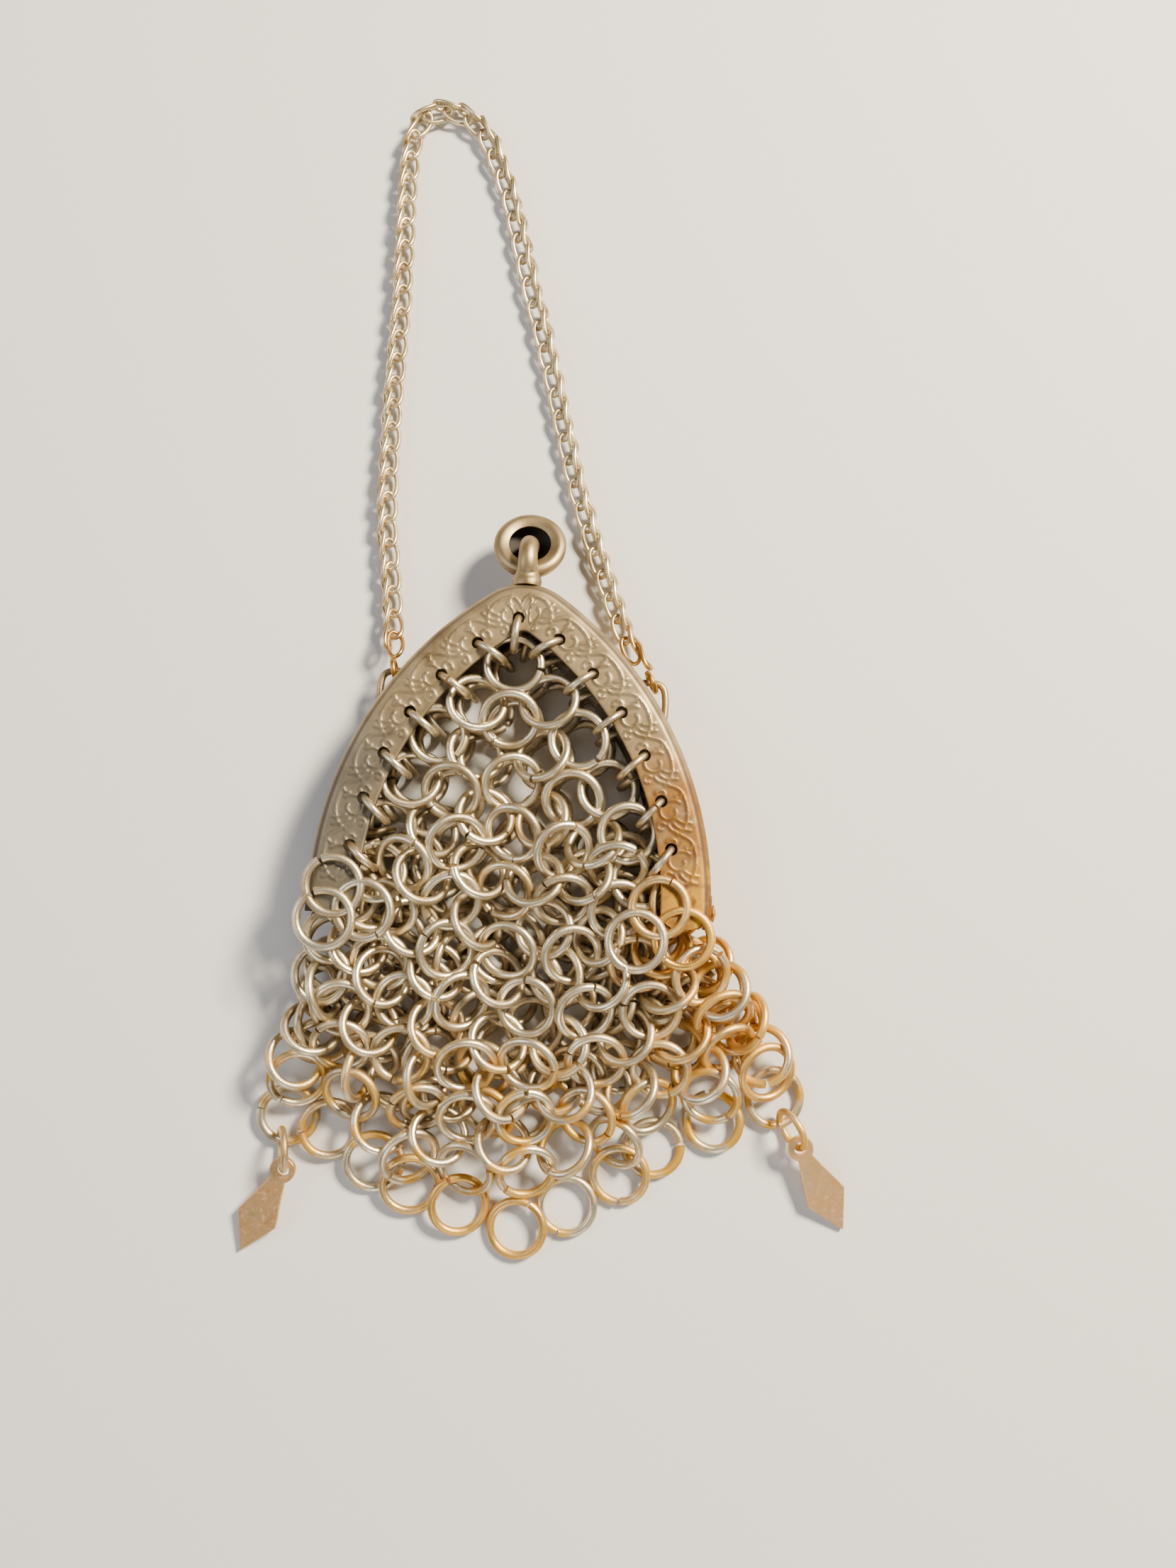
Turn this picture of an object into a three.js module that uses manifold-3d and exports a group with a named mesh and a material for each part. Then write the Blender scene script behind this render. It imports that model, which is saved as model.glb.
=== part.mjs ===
// A small ring mesh coin purse, lying flat on its back.
// Millimetres, +X to the right, +Y towards the clasp, +Z up. The origin is on the flat back face
// of the back frame, on the purse's axis, just inside the clasp end.
import * as THREE from 'three';
import { mergeVertices } from 'three/addons/utils/BufferGeometryUtils.js';
import Module from 'manifold-3d';

const wasm = await Module();
wasm.setup();

// Frame: two stamped half shells, a rounded gothic arch seen from the front
const ARCH_RADIUS = 33.6;
const FRAME_WIDTH = 35.6;
const APEX_ROUND = 5.5;
const APEX_Y = 1.9;
const ARM_TAIL = 1.6;
const FRAME_DEPTH = 6;
const HALF_GAP = 0.3;
const STRIP_WIDTH = 4.5;
const EDGE_ROUND = 1.3;
const SHEET = 0.5;
const RELIEF = 0.15;
const SCROLL_RADIUS = 1.15;
const SCROLL_WIDTH = 0.5;
const SCROLL_START = -40;
const SCROLL_END = 215;
const SCROLL_AHEAD = 0.75;

// Jump rings through the frame
const JUMP_COUNT_EACH_SIDE = 6;
const JUMP_PITCH = 4.33;
const JUMP_OFFSET = -0.5;
const JUMP_EDGE = 1.2;
const JUMP_RADIUS = 1.5;
const JUMP_WIRE = 0.65;
const JUMP_FACE_GAP = 0.2;
const JUMP_HOLE = 1.6;
const RING_STEPS = 10;
const WIRE_SIDES = 5;

// Ring mesh bag: a front and a back sheet
const BAG_DROP = 31.5;
const BAG_WIDTH = 50;
const RING_OUTSIDE = 5.6;
const MESH_WIRE = 0.8;
const MESH_EDGE = 0.6;
const MESH_CLEARANCE = 0.3;
const SHEET_THICK = 1.5;
const SHEET_SAG = 1.2;
const SHEET_SPACE = 0.5;
const CORNER_RISE = 0.9;
const GAP_WIDTH = 3.8;
const GAP_SIDES = 7;
const GAP_ACROSS = 6.5;
const GAP_DOWN = 4.1;
const GAP_WALL = 0.9;
const EDGE_GAP_WIDTH = 2.4;
const APEX_GAP_DEPTH = 1.9;
const APEX_GAP_MARGIN = 0.5;

// Clasp: a hollow button on a bent post
const BUTTON_WIDTH = 6.7;
const BUTTON_MOUTH = 3.9;
const BUTTON_DEPTH = 2.3;
const BUTTON_WALL = 0.4;
const BUTTON_TILT = 18;
const BUTTON_AHEAD = 4.15;
const BUTTON_HEIGHT = 3.3;
const POST_WIDTH = 1.9;
const POST_RISE = 0.35;
const POST_SEAT = 0.3;
const COLLAR_WIDTH = 2.7;
const COLLAR_LENGTH = 0.9;

// Hinges at the ends of the arms, and the snap tongue inside the apex
const HINGE_PIN = 0.8;
const HINGE_HEAD = 1.5;
const HINGE_LUG = 3;
const TONGUE_WIDTH = 2.6;
const TONGUE_REACH = 4.6;
const TONGUE_INSET = 0.5;

// Handle chain, its bails and end links
const CHAIN_WIDTH = 2;
const CHAIN_SIDES = 8;
const CHAIN_STEPS = 42;
const BAIL_WIRE = 0.65;
const BAIL_HEIGHT = 2;
const BAIL_SIDES = 6;
const LINK_RADIUS = 0.95;
const LINK_WIRE = 0.5;
const LINK_SLACK = 0.2;
const LINK_GAP = 0.3;

// Kite drops on their jump rings
const DROP_LENGTH = 8.6;
const DROP_WIDTH = 3.75;
const DROP_SHEET = 0.45;
const DROP_TAB = 2.3;
const DROP_HOLE = 1.6;
const DROP_NECK = 1.2;
const DROP_RING_RADIUS = 1.75;
const DROP_RING_LEAN = 20;
const DROP_GRIP = 0.45;
const DROP_GRIP_HEIGHT = 1.75;

// Finishes
const finishes = {
  frame: { color: 0xb5a88f, roughness: 0.38, metalness: 1 },
  rings: { color: 0xcfc8ae, roughness: 0.35, metalness: 1 },
  chain: { color: 0xd9d2b0, roughness: 0.33, metalness: 1 },
  drops: { color: 0xb08a60, roughness: 0.45, metalness: 1 },
};

// Where each bottom ring sits: across as a share of the bag's width from the axis,
// down as a share of the bag's drop below the hinge line
const SCALLOPS = [
  { across: -0.391, down: 0.635 },
  { across: -0.309, down: 0.662 },
  { across: -0.224, down: 0.754 },
  { across: -0.151, down: 0.808 },
  { across: -0.065, down: 0.868 },
  { across: 0.034, down: 0.911 },
  { across: 0.127, down: 0.842 },
  { across: 0.213, down: 0.763 },
  { across: 0.288, down: 0.677 },
  { across: 0.385, down: 0.6 },
  { across: 0.497, down: 0.52 },
];

// The drops hang from the first and last bottom rings: the heading of each jump ring from its
// ring's centre, and the swing of the plate from straight down, in degrees
const DROPS = [
  { name: 'left', row: SCALLOPS[0], heading: -84, swing: -26 },
  { name: 'right', row: SCALLOPS.at(-1), heading: -63, swing: 31 },
];

// Side edges of the bag below the frame, as shares of the same two sizes
const SIDES = [
  { down: 0.085, left: 0.375, right: 0.362 },
  { down: 0.18, left: 0.385, right: 0.38 },
  { down: 0.24, left: 0.39, right: 0.455 },
  { down: 0.34, left: 0.405, right: 0.51 },
  { down: 0.44, left: 0.425, right: 0.545 },
];

// Route of the handle chain on the surface, from the left bail to the right one
const CHAIN_ROUTE = [
  { x: -12.95, y: -1.2, rise: 0.35 },
  { x: -13.5, y: 3.2, rise: 0 },
  { x: -14.09, y: 7.5, rise: 0 },
  { x: -14.39, y: 11.9, rise: 0 },
  { x: -14.49, y: 18.4, rise: 0 },
  { x: -14.41, y: 24.4, rise: 0 },
  { x: -14.3, y: 30.4, rise: 0 },
  { x: -14.38, y: 36.4, rise: 0 },
  { x: -14.46, y: 42.6, rise: 0 },
  { x: -14.3, y: 47.2, rise: 0 },
  { x: -13.3, y: 50.0, rise: 0 },
  { x: -11.3, y: 51.15, rise: 0 },
  { x: -8.95, y: 50.7, rise: 0 },
  { x: -6.95, y: 49.2, rise: 0 },
  { x: -5.6, y: 46.7, rise: 0 },
  { x: -4.1, y: 43.1, rise: 0 },
  { x: -2.7, y: 38.3, rise: 0 },
  { x: -1.2, y: 32.8, rise: 0 },
  { x: 0.02, y: 28.7, rise: 0 },
  { x: 1.2, y: 24.5, rise: 0 },
  { x: 2.4, y: 19.9, rise: 0 },
  { x: 3.9, y: 14.1, rise: 0 },
  { x: 5.28, y: 9.9, rise: 0 },
  { x: 6.8, y: 5.6, rise: 0 },
  { x: 8.4, y: 1.4, rise: 0.2 },
  { x: 9.75, y: -1.9, rise: 0.7 },
];

// Bail wire beside each arm: out from the edge of the frame and down along it
const BAIL_ROUTE = [
  { out: -0.35, down: 8.3 },
  { out: 0.55, down: 7.95 },
  { out: 1.95, down: 8.15 },
  { out: 1.5, down: 9.4 },
  { out: -0.35, down: 12.2 },
];

const rad = THREE.MathUtils.degToRad;
const smooth = (value) => THREE.MathUtils.smoothstep(value, 0, 1);
const mix = THREE.MathUtils.lerp;

// Places that follow from the sizes
const armCentreX = ARCH_RADIUS - FRAME_WIDTH / 2;
const apexCentreRise = Math.sqrt((ARCH_RADIUS - APEX_ROUND) ** 2 - armCentreX ** 2);
const apexCentreY = APEX_Y - APEX_ROUND;
const hingeY = apexCentreY - apexCentreRise;
const armAngle = Math.atan2(apexCentreRise, armCentreX);
const halfDepth = (FRAME_DEPTH - HALF_GAP) / 2;
const floorZ = -(JUMP_FACE_GAP + JUMP_WIRE);
const jumpDip = SHEET / 2 + JUMP_FACE_GAP + JUMP_WIRE / 2;
const jumpLift = JUMP_RADIUS - jumpDip;
const jumpReach = Math.sqrt(JUMP_RADIUS ** 2 - jumpLift ** 2);
const jumpInset = STRIP_WIDTH - JUMP_EDGE;
const meshInset = STRIP_WIDTH + MESH_CLEARANCE;
const meshEdgeDepth = SHEET + MESH_CLEARANCE + MESH_EDGE / 2;

// Solids in and out of the boolean kernel
function toSolid(geometry) {
  const bare = geometry.clone();
  bare.deleteAttribute('normal');
  bare.deleteAttribute('uv');
  const merged = mergeVertices(bare, 1e-5);
  const mesh = new wasm.Mesh({
    numProp: 3,
    vertProperties: new Float32Array(merged.attributes.position.array),
    triVerts: new Uint32Array(merged.index.array),
  });
  return new wasm.Manifold(mesh);
}

function toGeometry(solid) {
  const mesh = solid.getMesh();
  const geometry = new THREE.BufferGeometry();
  geometry.setAttribute('position', new THREE.BufferAttribute(new Float32Array(mesh.vertProperties), 3));
  geometry.setIndex(new THREE.BufferAttribute(new Uint32Array(mesh.triVerts), 1));
  geometry.computeVertexNormals();
  return geometry;
}

function cut(geometry, cutters) {
  return toGeometry(cutters.reduce((solid, cutter) => solid.subtract(toSolid(cutter)), toSolid(geometry)));
}

function join(geometries) {
  const [first, ...rest] = geometries.map(toSolid);
  return toGeometry(rest.reduce((solid, other) => solid.add(other), first));
}

// A closed solid through rings of points, with its faces pointing out
function loft(rings) {
  const count = rings[0].length;
  const positions = rings.flat().flatMap((point) => [point.x, point.y, point.z]);
  const index = [];
  for (let ring = 0; ring < rings.length - 1; ring += 1) {
    for (let side = 0; side < count; side += 1) {
      const next = (side + 1) % count;
      const near = ring * count;
      const far = near + count;
      index.push(near + side, near + next, far + next, near + side, far + next, far + side);
    }
  }
  // The ends are filled from the flat section, which may be hollow sided
  const flat = flatten(rings[0]);
  for (const [a, b, c] of THREE.ShapeUtils.triangulateShape(flat, [])) {
    const last = (rings.length - 1) * count;
    const turned = THREE.ShapeUtils.area(flat) > 0 ? [a, c, b] : [a, b, c];
    index.push(...orient(turned, flat), ...orient(turned, flat).reverse().map((i) => i + last));
  }
  const geometry = new THREE.BufferGeometry();
  geometry.setAttribute('position', new THREE.Float32BufferAttribute(positions, 3));
  geometry.setIndex(volume(positions, index) > 0 ? index : index.reverse());
  geometry.computeVertexNormals();
  return geometry;
}

// Section points in their own plane
function flatten(ring) {
  const across = ring[1].clone().sub(ring[0]).normalize();
  const away = ring[2].clone().sub(ring[0]);
  const normal = new THREE.Vector3().crossVectors(across, away).normalize();
  const up = new THREE.Vector3().crossVectors(normal, across);
  return ring.map((point) => {
    const from = point.clone().sub(ring[0]);
    return new THREE.Vector2(from.dot(across), from.dot(up));
  });
}

// End triangles run against the first wall's direction, so that shared edges are opposed
function orient([a, b, c], flat) {
  const area = THREE.ShapeUtils.area([flat[a], flat[b], flat[c]]);
  const whole = THREE.ShapeUtils.area(flat);
  return area * whole > 0 ? [a, c, b] : [a, b, c];
}

function volume(positions, index) {
  const corner = (i) => new THREE.Vector3().fromArray(positions, i * 3);
  let total = 0;
  for (let i = 0; i < index.length; i += 3) {
    total += corner(index[i]).dot(corner(index[i + 1]).cross(corner(index[i + 2])));
  }
  return total;
}

// A point of the arch, by its length along the line from the apex and its inset from the edge
function archPoint(along, inset) {
  const side = along < 0 ? -1 : 1;
  const length = Math.abs(along);
  const apexRadius = APEX_ROUND - inset;
  const armRadius = ARCH_RADIUS - inset;
  const apexLength = Math.max(apexRadius, 0) * (Math.PI / 2 - armAngle);
  if (length < apexLength) {
    const angle = Math.PI / 2 - length / apexRadius;
    return placeOnArc(0, apexCentreY, apexRadius, angle, side);
  }
  const angle = armAngle - (length - apexLength) / armRadius;
  return placeOnArc(-armCentreX, hingeY, armRadius, angle, side);
}

function placeOnArc(centreX, centreY, radius, angle, side) {
  return {
    x: side * (centreX + radius * Math.cos(angle)),
    y: centreY + radius * Math.sin(angle),
    outX: side * Math.cos(angle),
    outY: Math.sin(angle),
  };
}

// Stations round the outside of the arch from the right arm's end to the left one's
function archStations(armSteps, apexSteps, tail) {
  const right = [{ x: FRAME_WIDTH / 2, y: hingeY - tail, outX: 1, outY: 0 }];
  for (let step = 0; step < armSteps; step += 1) {
    right.push(placeOnArc(-armCentreX, hingeY, ARCH_RADIUS, (armAngle * step) / armSteps, 1));
  }
  for (let step = 0; step < apexSteps; step += 1) {
    const angle = mix(armAngle, Math.PI / 2, step / apexSteps);
    right.push(placeOnArc(0, apexCentreY, APEX_ROUND, angle, 1));
  }
  const left = right.map((at) => ({ ...at, x: -at.x, outX: -at.outX })).reverse();
  return [...right, { x: 0, y: APEX_Y, outX: 0, outY: 1 }, ...left];
}

const inward = (at, inset, z) => new THREE.Vector3(at.x - at.outX * inset, at.y - at.outY * inset, z);

// Where the jump rings pass through the sheet, on a front or a back half
function jumpPlaces(turn) {
  const places = [];
  for (let step = -JUMP_COUNT_EACH_SIDE; step <= JUMP_COUNT_EACH_SIDE; step += 1) {
    const along = turn * (JUMP_OFFSET + step * JUMP_PITCH);
    places.push({ step, along, ...archPoint(along, jumpInset) });
  }
  return places;
}

// Half shell of the frame, back half: flat strip, rounded edge and side wall
function shellSection() {
  const section = [[STRIP_WIDTH, 0]];
  for (const angle of [0, 30, 60, 90]) {
    const turn = rad(angle);
    section.push([EDGE_ROUND * (1 - Math.sin(turn)), EDGE_ROUND * (1 - Math.cos(turn))]);
  }
  section.push([0, halfDepth], [SHEET, halfDepth]);
  for (const angle of [90, 45, 0]) {
    const turn = rad(angle);
    const inner = EDGE_ROUND - SHEET;
    section.push([EDGE_ROUND - inner * Math.sin(turn), EDGE_ROUND - inner * Math.cos(turn)]);
  }
  section.push([STRIP_WIDTH, SHEET]);
  return section;
}

function halfShell(turn) {
  const section = shellSection();
  const rings = archStations(7, 3, ARM_TAIL).map((at) =>
    section.map(([inset, z]) => inward(at, inset, turn > 0 ? FRAME_DEPTH - z : z)));
  const holes = jumpPlaces(turn).map((at) => {
    const hole = new THREE.CylinderGeometry(JUMP_HOLE / 2, JUMP_HOLE / 2, 3 * SHEET, 8);
    hole.rotateX(Math.PI / 2);
    return hole.translate(at.x, at.y, turn > 0 ? FRAME_DEPTH - SHEET / 2 : SHEET / 2);
  });
  return cut(loft(rings), holes);
}

// Hinge lug at the end of an arm, in the side wall's own line or just inside it
const hingeZ = FRAME_DEPTH / 2;
const lugY = hingeY - ARM_TAIL + HINGE_LUG / 2;

function hingeLug(side, inside, towards) {
  const reach = HINGE_LUG / 2;
  const lug = new THREE.CylinderGeometry(reach, reach, SHEET, 10);
  lug.rotateZ(Math.PI / 2);
  lug.translate(0, 0, hingeZ);
  const stem = new THREE.BoxGeometry(SHEET, HINGE_LUG, halfDepth);
  stem.translate(0, 0, hingeZ + (towards * halfDepth) / 2);
  const inset = SHEET / 2 + inside;
  return join([lug, stem]).translate(side * (FRAME_WIDTH / 2 - inset), lugY, 0);
}

function hingeHole(side) {
  const hole = new THREE.CylinderGeometry(HINGE_PIN / 2 + 0.3, HINGE_PIN / 2 + 0.3, 6, 10);
  return hole.rotateZ(Math.PI / 2).translate((side * FRAME_WIDTH) / 2, lugY, hingeZ);
}

function hingePin(side) {
  const outside = FRAME_WIDTH / 2 + 0.3;
  const inner = FRAME_WIDTH / 2 - 2 * SHEET - 2 * 0.3;
  const head = 0.4;
  const profile = [
    [0, outside + head], [HINGE_HEAD / 2, outside + head * 0.4], [HINGE_HEAD / 2, outside],
    [HINGE_PIN / 2, outside], [HINGE_PIN / 2, inner], [HINGE_HEAD / 2, inner],
    [HINGE_HEAD / 2, inner - head], [0, inner - head],
  ].map(([radius, along]) => new THREE.Vector2(radius, along));
  const pin = new THREE.LatheGeometry(profile.reverse(), 8);
  return join([pin.rotateZ((-side * Math.PI) / 2).translate(0, lugY, hingeZ)]);
}

// Raised scrolls of the stamped ornament, one crescent with a curled end between two jump rings
function scroll(radius, width, turnFrom, turnTo, mirrored) {
  const shape = new THREE.Shape();
  const steps = 5;
  for (let step = 0; step <= steps; step += 1) {
    const angle = rad(mix(turnFrom, turnTo, step / steps));
    const point = [radius * Math.cos(angle) * mirrored, radius * Math.sin(angle)];
    if (step === 0) shape.moveTo(...point);
    else shape.lineTo(...point);
  }
  for (let step = steps; step >= 0; step -= 1) {
    const angle = rad(mix(turnFrom, turnTo, step / steps));
    const thick = width * (0.3 + 0.7 * Math.sin((Math.PI * (step + 0.6)) / (steps + 1.2)));
    const inner = radius - thick;
    shape.lineTo(inner * Math.cos(angle) * mirrored, inner * Math.sin(angle));
  }
  return new THREE.ExtrudeGeometry(shape, { depth: SHEET * 0.7, bevelEnabled: false });
}

function ornament() {
  const scrolls = [];
  const places = jumpPlaces(1);
  for (let step = 0; step < places.length - 1; step += 1) {
    const along = (places[step].along + places[step + 1].along) / 2;
    const at = archPoint(along, jumpInset - SCROLL_AHEAD);
    const curl = scroll(SCROLL_RADIUS, SCROLL_WIDTH, SCROLL_START, SCROLL_END, along < 0 ? -1 : 1);
    curl.rotateZ(Math.atan2(at.outY, at.outX) - Math.PI / 2);
    scrolls.push(curl.translate(at.x, at.y, FRAME_DEPTH + RELIEF - SHEET * 0.7));
  }
  return scrolls;
}

// Wire or chain along a route, as a closed faceted tube
function wire(points, width, sides, steps) {
  const section = new THREE.Shape();
  for (let side = 0; side < sides; side += 1) {
    const angle = (2 * Math.PI * side) / sides;
    const point = [(width / 2) * Math.cos(angle), (width / 2) * Math.sin(angle)];
    if (side === 0) section.moveTo(...point);
    else section.lineTo(...point);
  }
  const route = new THREE.CatmullRomCurve3(points, false, 'centripetal');
  return new THREE.ExtrudeGeometry(section, { steps, bevelEnabled: false, extrudePath: route });
}

function bailPoints(side) {
  return BAIL_ROUTE.map(({ out, down }) => {
    const y = APEX_Y - down;
    const edge = Math.sqrt(ARCH_RADIUS ** 2 - (y - hingeY) ** 2) - armCentreX;
    return new THREE.Vector3(side * (edge + out), y, BAIL_HEIGHT);
  });
}

function frontFrame() {
  const lugs = [-1, 1].map((side) => hingeLug(side, 0, 1));
  return cut(join([halfShell(1), ...ornament(), ...lugs]), [-1, 1].map(hingeHole));
}

function backFrame() {
  // The side wall stands back where the front half's lugs reach down, and the lugs are just inside it
  const clear = new THREE.BoxGeometry(2 * (SHEET + 0.3), HINGE_LUG + 0.6, FRAME_DEPTH);
  const notchBottom = hingeZ - HINGE_LUG / 2 - 0.3;
  const notches = [-1, 1].map((side) =>
    clear.clone().translate((side * FRAME_WIDTH) / 2, lugY, notchBottom + FRAME_DEPTH / 2));
  const lugs = [-1, 1].map((side) => hingeLug(side, SHEET + 0.3, -1));
  const bails = [-1, 1].map((side) => wire(bailPoints(side), BAIL_WIRE, BAIL_SIDES, 9));
  const tongue = new THREE.BoxGeometry(TONGUE_WIDTH, SHEET, TONGUE_REACH);
  tongue.translate(0, APEX_Y - 1.5 * SHEET - TONGUE_INSET, TONGUE_REACH / 2);
  const shell = cut(halfShell(-1), notches);
  return cut(join([shell, ...lugs, ...bails, tongue]), [-1, 1].map(hingeHole));
}

// Clasp button: a hollow turned cap with a rolled rim, open towards the viewer, on a bent post
function claspKnob() {
  const outer = BUTTON_WIDTH / 2;
  const mouth = BUTTON_MOUTH / 2;
  const roll = 0.75;
  const profile = [
    [0, -BUTTON_DEPTH], [outer * 0.5, -BUTTON_DEPTH * 0.86], [outer * 0.85, -BUTTON_DEPTH * 0.5],
    [outer, 0], [outer * 0.96, roll * 0.55], [outer * 0.82, roll], [mouth, roll * 0.75],
    [mouth, roll * 0.75 - BUTTON_WALL], [outer * 0.82, roll - BUTTON_WALL * 1.3],
    [outer - BUTTON_WALL, 0], [outer * 0.75, -BUTTON_DEPTH * 0.38],
    [outer * 0.42, -BUTTON_DEPTH * 0.66], [0, -BUTTON_DEPTH + BUTTON_WALL],
  ].map(([radius, height]) => new THREE.Vector2(radius, height));
  const cap = new THREE.LatheGeometry(profile, 14);
  const tilt = rad(BUTTON_TILT);
  const centreY = APEX_Y + BUTTON_AHEAD;
  cap.rotateX(Math.PI / 2 - tilt).translate(0, centreY, BUTTON_HEIGHT);
  const top = FRAME_DEPTH + POST_RISE - POST_WIDTH / 2;
  const seat = APEX_Y + POST_SEAT;
  const seatZ = FRAME_DEPTH - EDGE_ROUND;
  const post = wire([
    new THREE.Vector3(0, seat + COLLAR_LENGTH * 0.6, seatZ),
    new THREE.Vector3(0, seat + COLLAR_LENGTH, mix(seatZ, top, 0.45)),
    new THREE.Vector3(0, seat + COLLAR_LENGTH * 2, top),
    new THREE.Vector3(0, centreY - 0.85, top - 0.3),
    new THREE.Vector3(0, centreY - 0.1, top - 1.5),
    new THREE.Vector3(0, centreY + 0.25, BUTTON_HEIGHT - BUTTON_DEPTH + BUTTON_WALL * 0.5),
  ], POST_WIDTH, 8, 7);
  const collar = new THREE.CylinderGeometry(POST_WIDTH / 2, COLLAR_WIDTH / 2, COLLAR_LENGTH, 10);
  collar.translate(0, seat + COLLAR_LENGTH / 2, seatZ);
  return join([cap, post, collar]);
}

// Jump ring in the plane that holds the inward direction and the upright
function jumpRing(at, turn) {
  const ring = new THREE.TorusGeometry(JUMP_RADIUS, JUMP_WIRE / 2, WIRE_SIDES, RING_STEPS);
  const reach = new THREE.Vector3(-at.outX, -at.outY, 0);
  const up = new THREE.Vector3(0, 0, 1);
  const basis = new THREE.Matrix4().makeBasis(reach, up, new THREE.Vector3().crossVectors(reach, up));
  const sheetZ = turn > 0 ? FRAME_DEPTH - SHEET / 2 : SHEET / 2;
  ring.applyMatrix4(basis);
  return ring.translate(at.x + reach.x * jumpReach, at.y + reach.y * jumpReach, sheetZ - turn * jumpLift);
}

// Outline of a mesh sheet: the arch inside the frame, the sides and the scalloped bottom
const bagPoint = (across, down) => new THREE.Vector2(across * BAG_WIDTH, hingeY - down * BAG_DROP);

function sheetOutline(withCorners) {
  const arch = archStations(10, 2, ARM_TAIL + MESH_CLEARANCE).map((at) => {
    const point = inward(at, meshInset, 0);
    return new THREE.Vector2(point.x, point.y);
  });
  const left = SIDES.map(({ down, left: across }) => bagPoint(-across, down));
  const right = SIDES.map(({ down, right: across }) => bagPoint(across, down));
  const centres = SCALLOPS.map(({ across, down }) => bagPoint(across, down));
  const bottom = [];
  centres.forEach((centre, i) => {
    const isCorner = i === 0 || i === centres.length - 1;
    if (isCorner && !withCorners) return;
    const before = centres[Math.max(i - 1, 0)];
    const after = centres[Math.min(i + 1, centres.length - 1)];
    const facing = Math.atan2(after.y - before.y, after.x - before.x) - Math.PI / 2;
    const widen = (end) => (isCorner && (i === 0) === (end < 0) ? 110 : 44);
    const from = -widen(-1);
    const to = widen(1);
    for (let step = 0; step <= 4; step += 1) {
      const angle = facing + rad(mix(from, to, step / 4));
      const reach = RING_OUTSIDE / 2;
      bottom.push(new THREE.Vector2(centre.x + reach * Math.cos(angle), centre.y + reach * Math.sin(angle)));
    }
  });
  return [...arch, ...left, ...bottom, ...right.reverse()];
}

function roundGap(x, y, width, sides) {
  const gap = [];
  for (let side = 0; side < sides; side += 1) {
    const angle = (2 * Math.PI * (side + 0.5)) / sides;
    gap.push(new THREE.Vector2(x + (width / 2) * Math.cos(angle), y + (width / 2) * Math.sin(angle)));
  }
  return { x, y, width, gap };
}

// The three rings nearest the clasp share one gap, which follows the arch above and is rounded below
function apexGap(turn) {
  const ends = [-1, 1].map((step) => turn * (JUMP_OFFSET + step * JUMP_PITCH) + step * turn * APEX_GAP_MARGIN);
  const inset = meshInset + MESH_EDGE;
  const above = [ends[0], ends[0] / 2, 0, ends[1] / 2, ends[1]].map((along) => archPoint(along, inset));
  const below = [ends[1], ends[0]].map((along) => archPoint(along, inset + APEX_GAP_DEPTH));
  const middle = { x: (below[0].x + below[1].x) / 2, y: (below[0].y + below[1].y) / 2 - APEX_GAP_DEPTH / 4 };
  const gap = [...above, below[0], middle, below[1]].map(({ x, y }) => new THREE.Vector2(x, y));
  return { x: middle.x, y: middle.y + APEX_GAP_DEPTH, width: 2.6 * APEX_GAP_DEPTH, gap };
}

// Gaps that the jump rings pass through: one at the apex and one for each ring down the arms
function edgeGaps(turn) {
  const gaps = [apexGap(turn)];
  const inset = meshInset + MESH_EDGE + EDGE_GAP_WIDTH / 2;
  for (const at of jumpPlaces(turn)) {
    if (Math.abs(at.step) < 2) continue;
    const reach = inset - jumpInset;
    gaps.push(roundGap(at.x - at.outX * reach, at.y - at.outY * reach, EDGE_GAP_WIDTH, GAP_SIDES));
  }
  return gaps;
}

function cornerGaps() {
  return [SCALLOPS[0], SCALLOPS[SCALLOPS.length - 1]].map(({ across, down }) => {
    const centre = bagPoint(across, down);
    return roundGap(centre.x, centre.y, RING_OUTSIDE - 2 * MESH_WIRE, 12);
  });
}

function insideBy(point, outline) {
  let inside = false;
  let nearest = Infinity;
  outline.forEach((a, i) => {
    const b = outline[(i + 1) % outline.length];
    if ((a.y > point.y) !== (b.y > point.y)) {
      if (point.x < ((b.x - a.x) * (point.y - a.y)) / (b.y - a.y) + a.x) inside = !inside;
    }
    const edge = b.clone().sub(a);
    const share = THREE.MathUtils.clamp(point.clone().sub(a).dot(edge) / edge.lengthSq(), 0, 1);
    nearest = Math.min(nearest, point.distanceTo(a.clone().addScaledVector(edge, share)));
  });
  return inside ? nearest : -nearest;
}

// Rows of gaps, staggered as the rings are, wherever a whole gap fits
function fieldGaps(outline, taken, shift) {
  const gaps = [];
  const rows = Math.ceil((APEX_Y - hingeY + BAG_DROP) / GAP_DOWN);
  const columns = Math.ceil(BAG_WIDTH / GAP_ACROSS);
  for (let row = 0; row <= rows; row += 1) {
    for (let column = -columns; column <= columns; column += 1) {
      const x = (column + (row % 2) / 2) * GAP_ACROSS + shift;
      const y = hingeY - BAG_DROP + (row + 0.85) * GAP_DOWN;
      const point = new THREE.Vector2(x, y);
      const roomy = insideBy(point, outline) > GAP_WIDTH / 2 + GAP_WALL;
      const apart = taken.every((gap) =>
        Math.hypot(gap.x - x, gap.y - y) > (gap.width + GAP_WIDTH) / 2 + GAP_WALL * 0.7);
      if (roomy && apart) gaps.push(roundGap(x, y, GAP_WIDTH, GAP_SIDES));
    }
  }
  return gaps;
}

// How far a point of the bag is from the outside of the arch
function insetAt(x, y) {
  if (y < hingeY) return FRAME_WIDTH / 2 - Math.abs(x);
  return ARCH_RADIUS - Math.hypot(Math.abs(x) + armCentreX, y - hingeY);
}

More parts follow.
